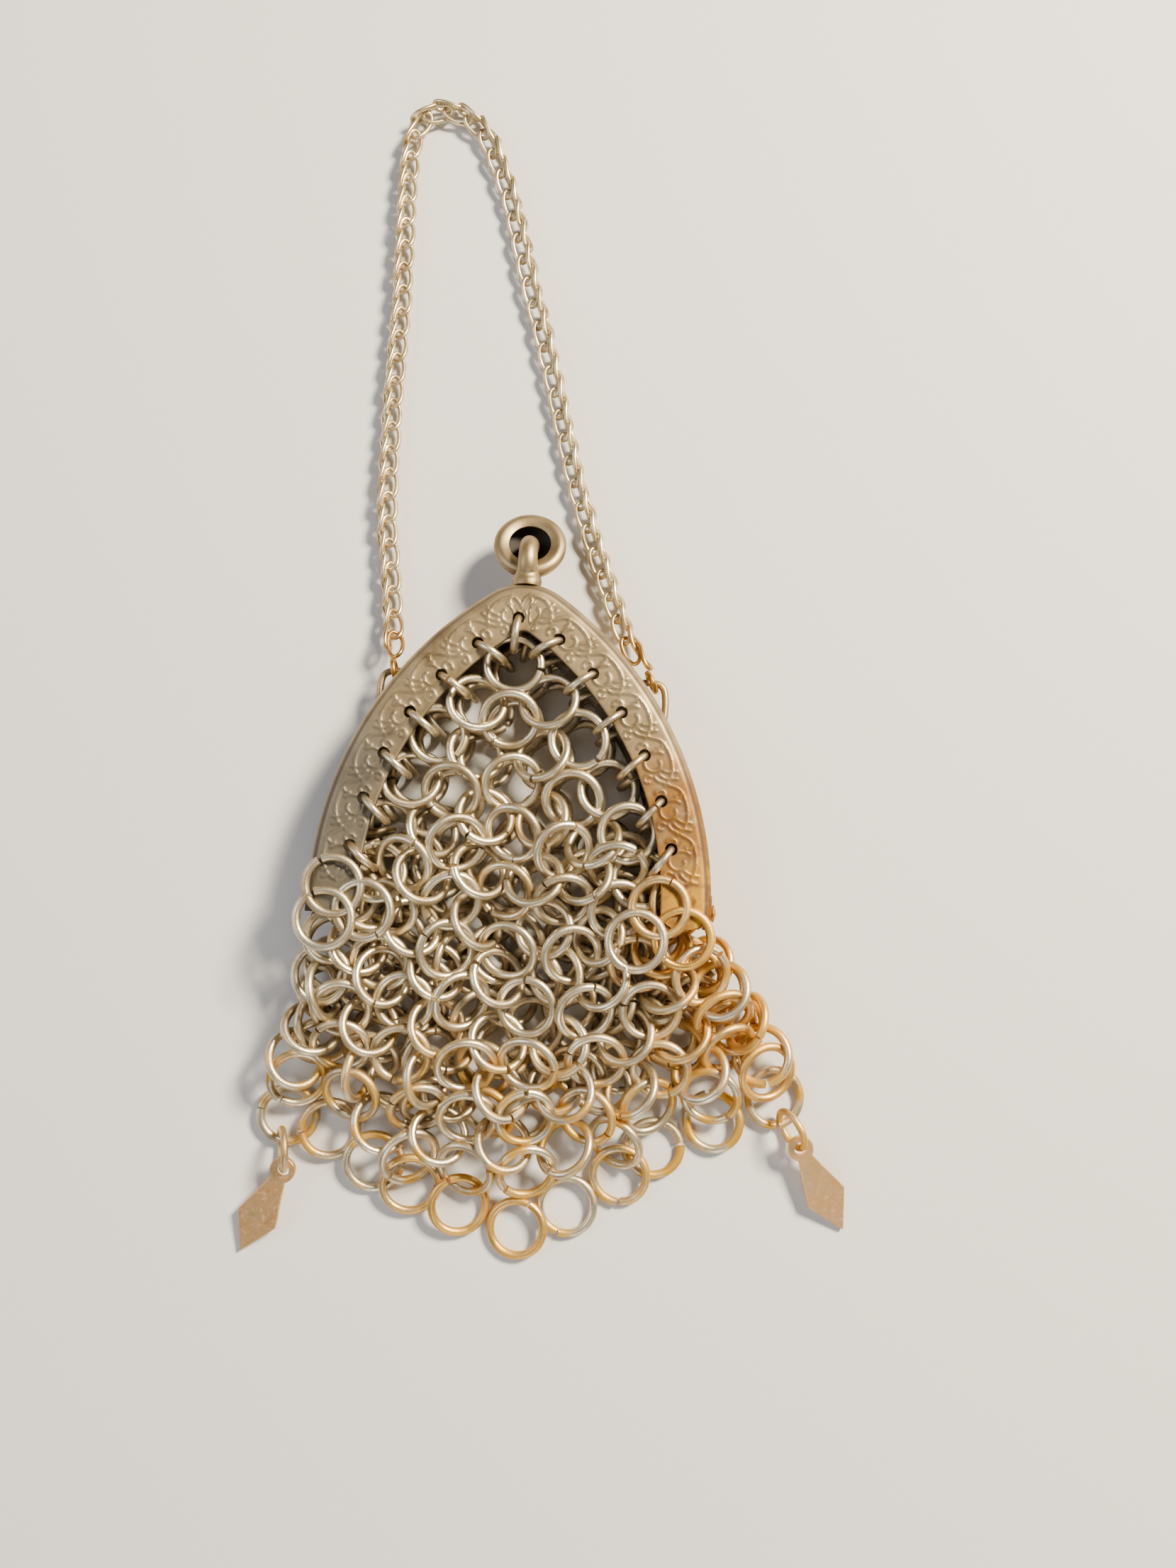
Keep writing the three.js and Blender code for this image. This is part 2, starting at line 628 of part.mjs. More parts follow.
// Height of a sheet's middle and its thickness at a point
function drape(turn, x, y) {
  const inset = insetAt(x, y);
  const low = smooth((hingeY + 1 - y) / 9);
  const edge = 1 - smooth((inset - meshInset) / 3.5);
  const thick = mix(SHEET_THICK, MESH_EDGE, edge * (1 - low));
  const backLow = floorZ + SHEET_THICK / 2;
  if (turn < 0) {
    const corner = cornerLift(x, y, 1.2, 2.2);
    const middle = mix(backLow, meshEdgeDepth, edge * (1 - low));
    return { middle: mix(middle, floorZ + DROP_GRIP_HEIGHT, corner), thick: mix(thick, MESH_WIRE, corner) };
  }
  const hung = FRAME_DEPTH - meshEdgeDepth - SHEET_SAG * smooth((inset - meshInset) / 6);
  const frontLow = backLow + SHEET_THICK + SHEET_SPACE + CORNER_RISE * cornerLift(x, y, 3.5, 5);
  return { middle: mix(hung, frontLow, low), thick };
}

// The wire that a drop's jump ring grips is lifted off the surface
function cornerLift(x, y, near, fade) {
  const grips = DROPS.map(({ row, heading }) =>
    bagPoint(row.across, row.down).add(headed(heading, RING_OUTSIDE / 2 - MESH_WIRE / 2)));
  const nearest = Math.min(...grips.map((grip) => Math.hypot(grip.x - x, grip.y - y)));
  return 1 - smooth((nearest - near) / fade);
}

const headed = (degrees, length) => new THREE.Vector2(Math.cos(rad(degrees)), Math.sin(rad(degrees)))
  .multiplyScalar(length);

function meshSheet(turn) {
  const outline = sheetOutline(turn < 0);
  const fixed = [...edgeGaps(turn), ...(turn < 0 ? cornerGaps() : [])];
  const gaps = [...fixed, ...fieldGaps(outline, fixed, turn < 0 ? GAP_ACROSS / 4 : 0)];
  const shape = new THREE.Shape(outline);
  shape.holes = gaps.map(({ gap }) => new THREE.Path(gap));
  const sheet = new THREE.ExtrudeGeometry(shape, { depth: 1, bevelEnabled: false });
  const spots = sheet.attributes.position;
  for (let i = 0; i < spots.count; i += 1) {
    const { middle, thick } = drape(turn, spots.getX(i), spots.getY(i));
    spots.setZ(i, middle + (spots.getZ(i) - 0.5) * thick);
  }
  return sheet;
}

// Kite drop, lying with its tip on the surface and its tab held up by the jump ring
const dropRingLift = DROP_RING_RADIUS * Math.cos(rad(DROP_RING_LEAN)) + JUMP_WIRE / 2;

function dropPlate(at, angle) {
  const tab = DROP_TAB / 2;
  const shape = new THREE.Shape();
  const open = Math.asin(DROP_NECK / 2 / tab);
  shape.absarc(0, 0, tab, -Math.PI / 2 + open, (3 * Math.PI) / 2 - open, false);
  shape.lineTo(-DROP_WIDTH / 2, -DROP_LENGTH * 0.6);
  shape.lineTo(0, -DROP_LENGTH);
  shape.lineTo(DROP_WIDTH / 2, -DROP_LENGTH * 0.6);
  shape.holes = [new THREE.Path(roundGap(0, 0, DROP_HOLE, 8).gap)];
  const options = { depth: DROP_SHEET, bevelEnabled: false, curveSegments: 12 };
  const plate = new THREE.ExtrudeGeometry(shape, options).translate(0, 0, -DROP_SHEET / 2);
  const drop = new THREE.Group();
  const lean = Math.asin((dropRingLift - DROP_SHEET * 0.6) / DROP_LENGTH);
  drop.position.set(at.x, at.y, floorZ + dropRingLift);
  drop.rotation.set(0, 0, angle);
  return { plate: plate.rotateX(lean), drop };
}

function dropRing(at, direction) {
  const ring = new THREE.TorusGeometry(DROP_RING_RADIUS, JUMP_WIRE / 2, WIRE_SIDES, RING_STEPS);
  const along = new THREE.Vector3(direction.x, direction.y, 0);
  const side = new THREE.Vector3(-direction.y, direction.x, 0);
  const lean = rad(DROP_RING_LEAN);
  const up = side.multiplyScalar(Math.sin(lean)).add(new THREE.Vector3(0, 0, Math.cos(lean)));
  const basis = new THREE.Matrix4().makeBasis(along, up, new THREE.Vector3().crossVectors(along, up));
  return ring.applyMatrix4(basis).translate(at.x, at.y, floorZ + dropRingLift);
}

// End link of the chain, through the top of a bail
function endLink(at, direction) {
  const ring = new THREE.TorusGeometry(LINK_RADIUS, LINK_WIRE / 2, WIRE_SIDES, RING_STEPS);
  const along = direction.clone().normalize();
  const up = new THREE.Vector3(0, 0, 1);
  const basis = new THREE.Matrix4().makeBasis(along, up, new THREE.Vector3().crossVectors(along, up));
  return ring.applyMatrix4(basis).translate(at.x, at.y, at.z);
}

// The finished purse
const purse = new THREE.Group();

function add(name, geometry, finish, parent = purse) {
  const mesh = new THREE.Mesh(geometry, new THREE.MeshStandardMaterial(finishes[finish]));
  mesh.name = name;
  parent.add(mesh);
}

add('front_frame', frontFrame(), 'frame');
add('back_frame', backFrame(), 'frame');
add('clasp_knob', claspKnob(), 'frame');
add('hinge_pin_left', hingePin(-1), 'frame');
add('hinge_pin_right', hingePin(1), 'frame');
add('mesh_front', meshSheet(1), 'rings');
add('mesh_back', meshSheet(-1), 'rings');

for (const [half, turn] of [['front', 1], ['back', -1]]) {
  for (const at of jumpPlaces(turn)) {
    const number = String(at.step + JUMP_COUNT_EACH_SIDE + 1).padStart(2, '0');
    add(`jump_ring_${half}_${number}`, jumpRing(at, turn), 'rings');
  }
}

// The chain runs to the links that hang in the two bails
const routePoints = CHAIN_ROUTE.map(({ x, y, rise }) =>
  new THREE.Vector3(x, y, floorZ + CHAIN_WIDTH / 2 + rise));
const linkEnds = [[-1, 'left', routePoints[0]], [1, 'right', routePoints.at(-1)]].map(([side, name, before]) => {
  const [, inner, outer] = bailPoints(side);
  const hook = inner.clone().lerp(outer, 0.5);
  const direction = hook.clone().sub(before).setZ(0).normalize();
  const link = hook.clone().addScaledVector(direction, -LINK_SLACK);
  const chainEnd = link.clone().addScaledVector(direction, -LINK_RADIUS - LINK_WIRE / 2 - LINK_GAP);
  add(`end_link_${name}`, endLink(link, direction), 'chain');
  return chainEnd;
});
const chainPoints = [linkEnds[0], ...routePoints, linkEnds[1]];
add('handle_chain', wire(chainPoints, CHAIN_WIDTH, CHAIN_SIDES, CHAIN_STEPS), 'chain');

for (const { name, row, heading, swing } of DROPS) {
  const ringReach = RING_OUTSIDE / 2 - MESH_WIRE / 2 + DROP_GRIP;
  const ringAt = bagPoint(row.across, row.down).add(headed(heading, ringReach));
  const tabAt = ringAt.clone().add(headed(heading, DROP_RING_RADIUS));
  add(`drop_ring_${name}`, dropRing(ringAt, headed(heading, 1)), 'rings');
  const { plate, drop } = dropPlate(tabAt, rad(swing));
  purse.add(drop);
  add(`drop_plate_${name}`, plate, 'drops', drop);
}

export default purse;
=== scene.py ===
"""A ring mesh coin purse in nickel silver, lying flat on its back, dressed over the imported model.

The frame of the scene is the model's own: +X to the right, +Y towards the clasp and +Z up, with the
origin on the flat back face of the back half of the frame. Sizes here are in millimetres until a
mesh is made, and in metres in Blender.
"""
import logging
import math
from dataclasses import dataclass, field
from enum import Enum
from typing import Any, Iterable, Optional, Sequence

import bmesh
import bpy
import numpy as np
from mathutils import Matrix, Vector


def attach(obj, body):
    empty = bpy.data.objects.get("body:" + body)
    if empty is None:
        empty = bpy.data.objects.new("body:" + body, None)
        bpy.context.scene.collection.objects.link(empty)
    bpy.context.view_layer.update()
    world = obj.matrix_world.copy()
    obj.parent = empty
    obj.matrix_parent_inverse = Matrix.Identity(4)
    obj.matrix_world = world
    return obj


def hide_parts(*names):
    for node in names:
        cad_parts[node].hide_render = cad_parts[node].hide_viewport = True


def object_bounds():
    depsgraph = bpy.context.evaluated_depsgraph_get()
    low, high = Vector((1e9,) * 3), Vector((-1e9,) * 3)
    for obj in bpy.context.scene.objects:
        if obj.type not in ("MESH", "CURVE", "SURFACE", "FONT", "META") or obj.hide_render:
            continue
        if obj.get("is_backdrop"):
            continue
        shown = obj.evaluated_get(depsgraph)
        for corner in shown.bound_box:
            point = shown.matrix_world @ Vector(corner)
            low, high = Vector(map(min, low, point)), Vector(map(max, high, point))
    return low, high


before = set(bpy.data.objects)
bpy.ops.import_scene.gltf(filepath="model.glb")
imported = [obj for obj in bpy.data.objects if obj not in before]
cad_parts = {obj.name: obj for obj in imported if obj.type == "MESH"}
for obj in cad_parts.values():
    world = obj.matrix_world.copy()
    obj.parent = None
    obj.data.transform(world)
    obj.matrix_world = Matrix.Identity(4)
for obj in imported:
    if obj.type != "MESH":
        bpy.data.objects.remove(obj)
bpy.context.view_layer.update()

LOG = logging.getLogger("purse")
SEED = 7
MM = 0.001
ROOT = "root"

Array = np.ndarray


# Sizes that the parts share

@dataclass(frozen=True)
class ArchSizes:
    """Sizes of the pointed arch and of what hangs on it, in millimetres."""

    arch_radius: float = 33.6
    frame_width: float = 35.6
    apex_round: float = 5.5
    apex_y: float = 1.9
    arm_tail: float = 1.6
    depth: float = 6.0
    half_gap: float = 0.3
    strip_width: float = 4.5
    edge_round: float = 1.3
    sheet: float = 0.5
    jump_each_side: int = 6
    jump_pitch: float = 4.33
    jump_offset: float = -0.5
    jump_inset: float = 3.3
    jump_radius: float = 1.5
    jump_wire: float = 0.65
    jump_face_gap: float = 0.2
    ring_radius: float = 2.45
    ring_wire: float = 0.76

    @property
    def arm_centre(self) -> float:
        """Distance of an arm's arc centre beyond the axis."""
        return self.arch_radius - self.frame_width / 2

    @property
    def apex_rise(self) -> float:
        """Height of the apex arc's centre above the hinge line."""
        return math.sqrt((self.arch_radius - self.apex_round) ** 2 - self.arm_centre ** 2)

    @property
    def hinge_y(self) -> float:
        """Y of the hinge line, where the arms' arcs end."""
        return self.apex_y - self.apex_round - self.apex_rise

    @property
    def arm_angle(self) -> float:
        """Angle that each arm's arc spans."""
        return math.atan2(self.apex_rise, self.arm_centre)

    @property
    def half_depth(self) -> float:
        """Depth of one half of the frame."""
        return (self.depth - self.half_gap) / 2

    @property
    def floor(self) -> float:
        """Z of the surface that the purse lies on."""
        return -(self.jump_face_gap + self.jump_wire)

    @property
    def jump_lift(self) -> float:
        """Height of a jump ring's centre below its sheet's middle."""
        return self.jump_radius - (self.sheet / 2 + self.jump_face_gap + self.jump_wire / 2)

    @property
    def jump_reach(self) -> float:
        """How far inward of its hole a jump ring's centre lies."""
        return math.sqrt(self.jump_radius ** 2 - self.jump_lift ** 2)

    def point(self, along: float, inset: float) -> tuple[Array, Array]:
        """Finds a place on the arch.

        Args:
            along: Length along the line from the apex, positive to the right.
            inset: Distance in from the outer edge.

        Returns:
            The place and the outward direction, as two 2D points.
        """
        side, length = (-1.0 if along < 0 else 1.0), abs(along)
        apex_radius, arm_radius = self.apex_round - inset, self.arch_radius - inset
        apex_length = max(apex_radius, 0.0) * (math.pi / 2 - self.arm_angle)
        if length < apex_length:
            angle = math.pi / 2 - length / apex_radius
            centre, radius = (0.0, self.apex_y - self.apex_round), apex_radius
        else:
            angle = self.arm_angle - (length - apex_length) / arm_radius
            centre, radius = (-self.arm_centre, self.hinge_y), arm_radius
        out = np.array([math.cos(angle), math.sin(angle)])
        place = np.array(centre) + radius * out
        mirror = np.array([side, 1.0])
        return place * mirror, out * mirror

    def insets(self, points: Array) -> Array:
        """Measures how far in from the outer edge of the arms points lie.

        Args:
            points: Points with x and y along their last axis.

        Returns:
            The inset of each point.
        """
        across, up = np.abs(points[..., 0]), points[..., 1] - self.hinge_y
        beside = np.hypot(across + self.arm_centre, np.maximum(up, 0))
        return np.where(up < -self.arm_tail - 0.4, -9.0, self.arch_radius - beside)

    def stations(self, spacing: float) -> list[tuple[Array, Array, float]]:
        """Walks the outer edge of the arch from the right arm's end to the left one's.

        Args:
            spacing: Distance between stations along the edge.

        Returns:
            A place, an outward direction and the signed length from the apex for each station.
        """
        apex_length = self.apex_round * (math.pi / 2 - self.arm_angle)
        whole = apex_length + self.arch_radius * self.arm_angle
        count = math.ceil(whole / spacing)
        tail_count = max(2, math.ceil(self.arm_tail / spacing))
        right = []
        for step in range(tail_count):
            down = self.arm_tail * (1 - step / tail_count)
            place = np.array([self.frame_width / 2, self.hinge_y - down])
            right.append((place, np.array([1.0, 0.0]), whole + down))
        for step in range(count):
            along = whole * (1 - step / count)
            right.append((*self.point(along, 0.0), along))
        flip = np.array([-1.0, 1.0])
        left = [(place * flip, out * flip, -along) for place, out, along in reversed(right)]
        return [*right, (np.array([0.0, self.apex_y]), np.array([0.0, 1.0]), 0.0), *left]


ARCH = ArchSizes()


# Meshes

def unit(vectors: Array) -> Array:
    """Scales vectors to length one.

    Args:
        vectors: One vector, or several along the first axes.

    Returns:
        The vectors with length one.
    """
    return vectors / np.maximum(np.linalg.norm(vectors, axis=-1, keepdims=True), 1e-12)


@dataclass
class MeshMaker:
    """Gathers vertices in millimetres, faces and a value for each vertex that the finish reads: yellowing on
    the wires, painted shade on the frame sheet.
    """

    vertices: list[Array] = field(default_factory=list)
    faces: list[tuple[int, ...]] = field(default_factory=list)
    wear_and_shade: list[Array] = field(default_factory=list)
    count: int = 0

    def add(self, vertices: Array, faces: Iterable[Sequence[int]], wear_and_shade: Any = 0.0) -> None:
        """Adds a closed shell.

        Args:
            vertices: Points in millimetres.
            faces: Indices into those points.
            wear_and_shade: Value from 0 to 1 that the finish reads, one or one for each point: yellowing on
                the wires, painted shade on the frame sheet.
        """
        start = self.count
        self.vertices.append(np.asarray(vertices, float).reshape(-1, 3))
        self.faces.extend(tuple(int(i) + start for i in face) for face in faces)
        added = len(self.vertices[-1])
        self.wear_and_shade.append(np.broadcast_to(np.ravel(wear_and_shade), (added,)))
        self.count += added

    def grid(self, rings: Array, closed: bool, wear_and_shade: Any = 0.0) -> None:
        """Adds a skin over rings of points, capped at both ends unless it closes on itself.

        Args:
            rings: Rings of points, as an array of ring, point and coordinate.
            closed: Whether the last ring joins the first.
            wear_and_shade: One value from 0 to 1 that the finish reads: yellowing on the wires, painted
                shade on the frame sheet.
        """
        ring_count, point_count = rings.shape[:2]
        faces: list[tuple[int, ...]] = []
        for ring in range(ring_count if closed else ring_count - 1):
            near, far = ring * point_count, (ring + 1) % ring_count * point_count
            for point in range(point_count):
                after = (point + 1) % point_count
                faces.append((near + point, near + after, far + after, far + point))
        if not closed:
            faces.append(tuple(reversed(range(point_count))))
            last = (ring_count - 1) * point_count
            faces.append(tuple(range(last, last + point_count)))
        self.add(rings, faces, wear_and_shade)

    def sweep(self, route: Array, radius: Any, sides: int, closed: bool = False, wear_and_shade: float = 0.0,
              up: Optional[Array] = None) -> None:
        """Adds round wire along a route.

        Args:
            route: Points of the wire's centre line.
            radius: The wire's radius, one number or one for each point.
            sides: Sides of the wire's section.
            closed: Whether the wire closes on itself.
            wear_and_shade: One value from 0 to 1 that the finish reads: yellowing on the wires, painted
                shade on the frame sheet.
            up: Upright direction of the first section, square to the wire.
        """
        count = len(route)
        ahead = np.roll(route, -1, 0) - np.roll(route, 1, 0)
        if not closed:
            ahead[0], ahead[-1] = route[1] - route[0], route[-1] - route[-2]
        ahead = unit(ahead)
        start = np.array([0.0, 0.0, 1.0]) if up is None else np.asarray(up, float)
        if abs(start @ ahead[0]) > 0.95:
            start = np.array([1.0, 0.0, 0.0])
        ups = np.zeros((count, 3))
        for i in range(count):
            start = unit(start - ahead[i] * (start @ ahead[i]))
            ups[i] = start
        across = np.cross(ahead, ups)
        if closed:
            # The section's twist over the whole loop is spread along it
            last = unit(ups[-1] - ahead[0] * (ups[-1] @ ahead[0]))
            twist = math.atan2(last @ across[0], last @ ups[0])
            share = -twist * np.arange(count) / count
            ups, across = (ups * np.cos(share)[:, None] + across * np.sin(share)[:, None],
                           across * np.cos(share)[:, None] - ups * np.sin(share)[:, None])
        angles = np.arange(sides) * 2 * math.pi / sides
        size = np.broadcast_to(np.asarray(radius, float), (count,))[:, None, None]
        rings = route[:, None] + size * (across[:, None] * np.cos(angles)[None, :, None]
                                         + ups[:, None] * np.sin(angles)[None, :, None])
        self.grid(rings[:, ::-1], closed, wear_and_shade)

    def build(self, name: str, sharp_degrees: float = 38.0) -> bpy.types.Object:
        """Makes the object, smooth apart from its sharp edges.

        Args:
            name: The object's name.
            sharp_degrees: Edges that turn by more than this stay sharp.

        Returns:
            The object, in metres and linked to the scene.
        """
        mesh = bpy.data.meshes.new(name)
        mesh.from_pydata((np.concatenate(self.vertices) * MM).tolist(), [], self.faces)
        mesh.attributes.new("wear_and_shade", "FLOAT", "POINT").data.foreach_set("value", np.concatenate(self.wear_and_shade))
        mesh.validate()
        mesh.shade_smooth()
        mesh.set_sharp_from_angle(angle=math.radians(sharp_degrees))
        made = bpy.data.objects.new(name, mesh)
        bpy.context.scene.collection.objects.link(made)
        return made


def cut_holes(target: bpy.types.Object, cutters: MeshMaker) -> None:
    """Cuts closed shells out of an object and keeps the result as its mesh.

    Args:
        target: The object that is cut.
        cutters: The shells to take away.
    """
    tool = cutters.build(target.name + "_cutter")
    holes = target.modifiers.new("holes", "BOOLEAN")
    holes.object, holes.operation, holes.solver = tool, "DIFFERENCE", "EXACT"
    graph = bpy.context.evaluated_depsgraph_get()
    made = bpy.data.meshes.new_from_object(target.evaluated_get(graph))
    target.modifiers.clear()
    target.data = made
    bpy.data.objects.remove(tool)


def smooth_route(points: Array, spacing: float) -> Array:
    """Runs one smooth curve through a few points.

    Args:
        points: Points that the curve passes through.
        spacing: Distance between the points returned.

    Returns:
        Evenly spaced points of the curve.
    """
    ends = np.concatenate([[2 * points[0] - points[1]], points, [2 * points[-1] - points[-2]]])
    fine = []
    for p0, p1, p2, p3 in zip(ends, ends[1:], ends[2:], ends[3:]):
        for t in np.linspace(0, 1, 24, endpoint=False):
            fine.append(0.5 * (2 * p1 + (p2 - p0) * t + (2 * p0 - 5 * p1 + 4 * p2 - p3) * t ** 2
                               + (3 * p1 - p0 - 3 * p2 + p3) * t ** 3))
    fine = np.array([*fine, points[-1]])
    lengths = np.concatenate([[0], np.cumsum(np.linalg.norm(np.diff(fine, axis=0), axis=1))])
    wanted = np.linspace(0, lengths[-1], max(2, round(lengths[-1] / spacing) + 1))
    return np.stack([np.interp(wanted, lengths, fine[:, axis]) for axis in range(3)], 1)


# Finishes

def linear(code: str) -> tuple[float, float, float, float]:
    """Turns an sRGB hex colour to linear light.

    Args:
        code: Six hex digits after a hash sign.

    Returns:
        Linear red, green, blue and an alpha of 1.
    """
    parts = [int(code[i:i + 2], 16) / 255 for i in (1, 3, 5)]
    red, green, blue = (c / 12.92 if c <= 0.04045 else ((c + 0.055) / 1.055) ** 2.4 for c in parts)
    return red, green, blue, 1.0


def add_node(tree: bpy.types.NodeTree, kind: str, settings: Optional[dict[str, Any]] = None,
             inputs: Optional[dict[Any, Any]] = None) -> bpy.types.Node:
    """Adds a shader node with its settings, values and links.

    Args:
        tree: The material's node tree.
        kind: The node's type without its ShaderNode prefix.
        settings: Properties of the node.
        inputs: Values or sockets for the node's inputs, by name or number.

    Returns:
        The node.
    """
    node = tree.nodes.new("ShaderNode" + kind)
    for key, value in (settings or {}).items():
        setattr(node, key, value)
    for key, value in (inputs or {}).items():
        if isinstance(value, bpy.types.NodeSocket):
            tree.links.new(value, node.inputs[key])
        else:
            node.inputs[key].default_value = value
    return node


class Axis(Enum):
    """Axes of the purse's own frame."""

    X = "X"
    Y = "Y"
    Z = "Z"


@dataclass(frozen=True)
class Band:
    """A soft step along one axis, from none at the first place to full at the second, in millimetres."""

    axis: Axis
    none_at: float
    full_at: float

    def socket(self, tree: bpy.types.NodeTree, place: bpy.types.NodeSocket) -> bpy.types.NodeSocket:
        """Draws the band.

        Args:
            tree: The material's node tree.
            place: Object coordinates, in metres.

        Returns:
            A factor from 0 to 1.
        """
        split = add_node(tree, "SeparateXYZ", inputs={0: place})
        low, high = sorted((self.none_at, self.full_at))
        ends = (0.0, 1.0) if self.full_at > self.none_at else (1.0, 0.0)
        step = add_node(tree, "MapRange", {"interpolation_type": "SMOOTHSTEP"}, {
            0: split.outputs[self.axis.value], 1: low * MM, 2: high * MM, 3: ends[0], 4: ends[1]})
        return step.outputs[0]


@dataclass(frozen=True)
class TarnishAndShade:
    """A film of one colour that gathers where its bands overlap, broken up by grain: tarnish or rust in most
    finishes, painted shade in some.
    """

    colour: str
    bands: tuple[Band, ...]
    grain_mm: float
    threshold: tuple[float, float]
    strength: float
    # How much of the metal's own reflection the film leaves
    metal: float


@dataclass(frozen=True)
class MetalFinish:
    """A metal with cloudy tarnish, handling scratches and a per-vertex value that mixes in one more colour:
    yellowing on the wires, painted shade on the frame sheet.
    """

    name: str
    bright: str
    dull: str
    cloud_mm: float
    roughness: tuple[float, float]
    grit_mm: float
    grit_height_mm: float
    tarnish_and_shade: tuple[TarnishAndShade, ...] = ()
    # Colour that the per-vertex value mixes in, and how metallic those parts stay: yellowing on the wires,
    # painted shade on the frame sheet
    wear_and_shade_colour: Optional[str] = None
    wear_and_shade_metal: float = 1.0
    # How far past the roughest bare metal the painted shade's roughness goes, in spans from the smoothest to
    # the roughest
    wear_and_shade_roughening: float = 2.0

    def mixed(self, tree: bpy.types.NodeTree, factor: Any, first: Any, second: Any) -> bpy.types.NodeSocket:
        """Mixes two colours.

        Args:
            tree: The material's node tree.
            factor: Share of the second colour.
            first: A colour or socket.
            second: A colour or socket.

        Returns:
            The mixed colour.
        """
        mix = add_node(tree, "Mix", {"data_type": "RGBA"}, {0: factor, 6: first, 7: second})
        return mix.outputs[2]

    def number(self, tree: bpy.types.NodeTree, operation: str, *values: Any,
               clamp: bool = False) -> bpy.types.NodeSocket:
        """Works out one number from others.

        Args:
            tree: The material's node tree.
            operation: The sum that the node does.
            values: Numbers or sockets.
            clamp: Whether the result is kept between 0 and 1.

        Returns:
            The result.
        """
        settings = {"operation": operation, "use_clamp": clamp}
        return add_node(tree, "Math", settings, dict(enumerate(values))).outputs[0]

    def noise(self, tree: bpy.types.NodeTree, place: bpy.types.NodeSocket, size_mm: float, detail: float,
              low: float, high: float) -> bpy.types.NodeSocket:
        """Draws cloudy noise, stretched between two of its values.

        Args:
            tree: The material's node tree.
            place: Object coordinates, in metres.
            size_mm: Size of a cloud.
            detail: Octaves of finer clouds.
            low: Noise value that becomes 0.
            high: Noise value that becomes 1.

        Returns:
            A factor from 0 to 1.
        """
        cloud = add_node(tree, "TexNoise", inputs={
            "Vector": place, "Scale": 1 / (size_mm * MM), "Detail": detail})
        step = add_node(tree, "MapRange", inputs={0: cloud.outputs[0], 1: low, 2: high, 3: 0.0, 4: 1.0})
        return step.outputs[0]

    def material(self) -> bpy.types.Material:
        """Builds the metal.

        Returns:
            The material.
        """
        made = bpy.data.materials.new(self.name)
        made.use_nodes = True
        tree = made.node_tree
        tree.nodes.clear()
        place = add_node(tree, "TexCoord").outputs["Object"]
        wear_and_shade = add_node(tree, "Attribute", {"attribute_name": "wear_and_shade"}).outputs["Fac"]
        clouds = self.noise(tree, place, self.cloud_mm, 4, 0.3, 0.7)
        colour = self.mixed(tree, clouds, linear(self.dull), linear(self.bright))
        roughening: Any = clouds
        metallic: Any = 1.0
        for film in self.tarnish_and_shade:
            factor = self.noise(tree, place, film.grain_mm, 5, *film.threshold)
            for band in film.bands:
                factor = self.number(tree, "MULTIPLY", factor, band.socket(tree, place))
            factor = self.number(tree, "MULTIPLY", factor, film.strength)
            colour = self.mixed(tree, factor, colour, linear(film.colour))
            roughening = self.number(tree, "SUBTRACT", roughening, factor, clamp=True)
            loss = self.number(tree, "MULTIPLY", factor, 1 - film.metal)
            metallic = self.number(tree, "SUBTRACT", metallic, loss, clamp=True)
        # The per-vertex value mixes in the extra colour: painted shade on the frame sheet, yellowing on the
        # wires
        if self.wear_and_shade_colour:
            colour = self.mixed(tree, wear_and_shade, colour, linear(self.wear_and_shade_colour))
            loss = self.number(tree, "MULTIPLY", wear_and_shade, 1 - self.wear_and_shade_metal)
            metallic = self.number(tree, "SUBTRACT", metallic, loss, clamp=True)
            # Below zero here, so that the painted shade comes out rougher than the roughest bare metal
            roughening = self.number(tree, "MULTIPLY_ADD", loss, -self.wear_and_shade_roughening, roughening)
        rough = add_node(tree, "MapRange", {"clamp": False},
                         {0: roughening, 3: self.roughness[1], 4: self.roughness[0]})
        grit = self.noise(tree, place, self.grit_mm, 3, 0.0, 1.0)
        bump = add_node(tree, "Bump", inputs={
            "Strength": 1.0, "Distance": self.grit_height_mm * MM, "Height": grit})
        shader = add_node(tree, "BsdfPrincipled", inputs={
            "Base Color": colour, "Metallic": metallic, "Roughness": rough.outputs[0],
            "Normal": bump.outputs[0]})
        add_node(tree, "OutputMaterial", inputs={0: shader.outputs[0]})
        return made


# Stamped nickel silver sheet: satin, cloudy, with painted shade in its recesses, on its inner walls and in
# the button's hollow, greyer and shaded on the left arm, rusted along the right arm
FRAME_SHEET = MetalFinish(
    name="stamped_nickel_silver_satin", bright="#C2AC82", dull="#6F5C3D", cloud_mm=3.0,
    roughness=(0.3, 0.5), grit_mm=0.12, grit_height_mm=0.012, wear_and_shade_colour="#2A2219", wear_and_shade_metal=0.2,
    tarnish_and_shade=(
        TarnishAndShade("#8F7A58", (Band(Axis.Y, -14, -2),), 3.0, (0.3, 0.7), 0.6, 0.8),
        # Grey tarnish on the left arm, darkened further as painted shade on the side away from the key light
        TarnishAndShade("#716A5C", (Band(Axis.X, -8, -13), Band(Axis.Y, -8, -15)), 4.0, (0.1, 0.5), 0.85, 1.0),
        TarnishAndShade("#8F5F1A", (Band(Axis.X, 7, 13), Band(Axis.Y, -9, -17)), 2.0, (0.2, 0.5), 0.9, 0.85),
        TarnishAndShade("#6E420E", (Band(Axis.X, 9, 14), Band(Axis.Y, -11, -20)), 0.9, (0.48, 0.62), 0.75, 0.7),
        TarnishAndShade("#CF9A2C", (Band(Axis.X, 12, 15), Band(Axis.Y, -19, -27)), 1.6, (0.45, 0.6), 0.8, 0.9),
    ))
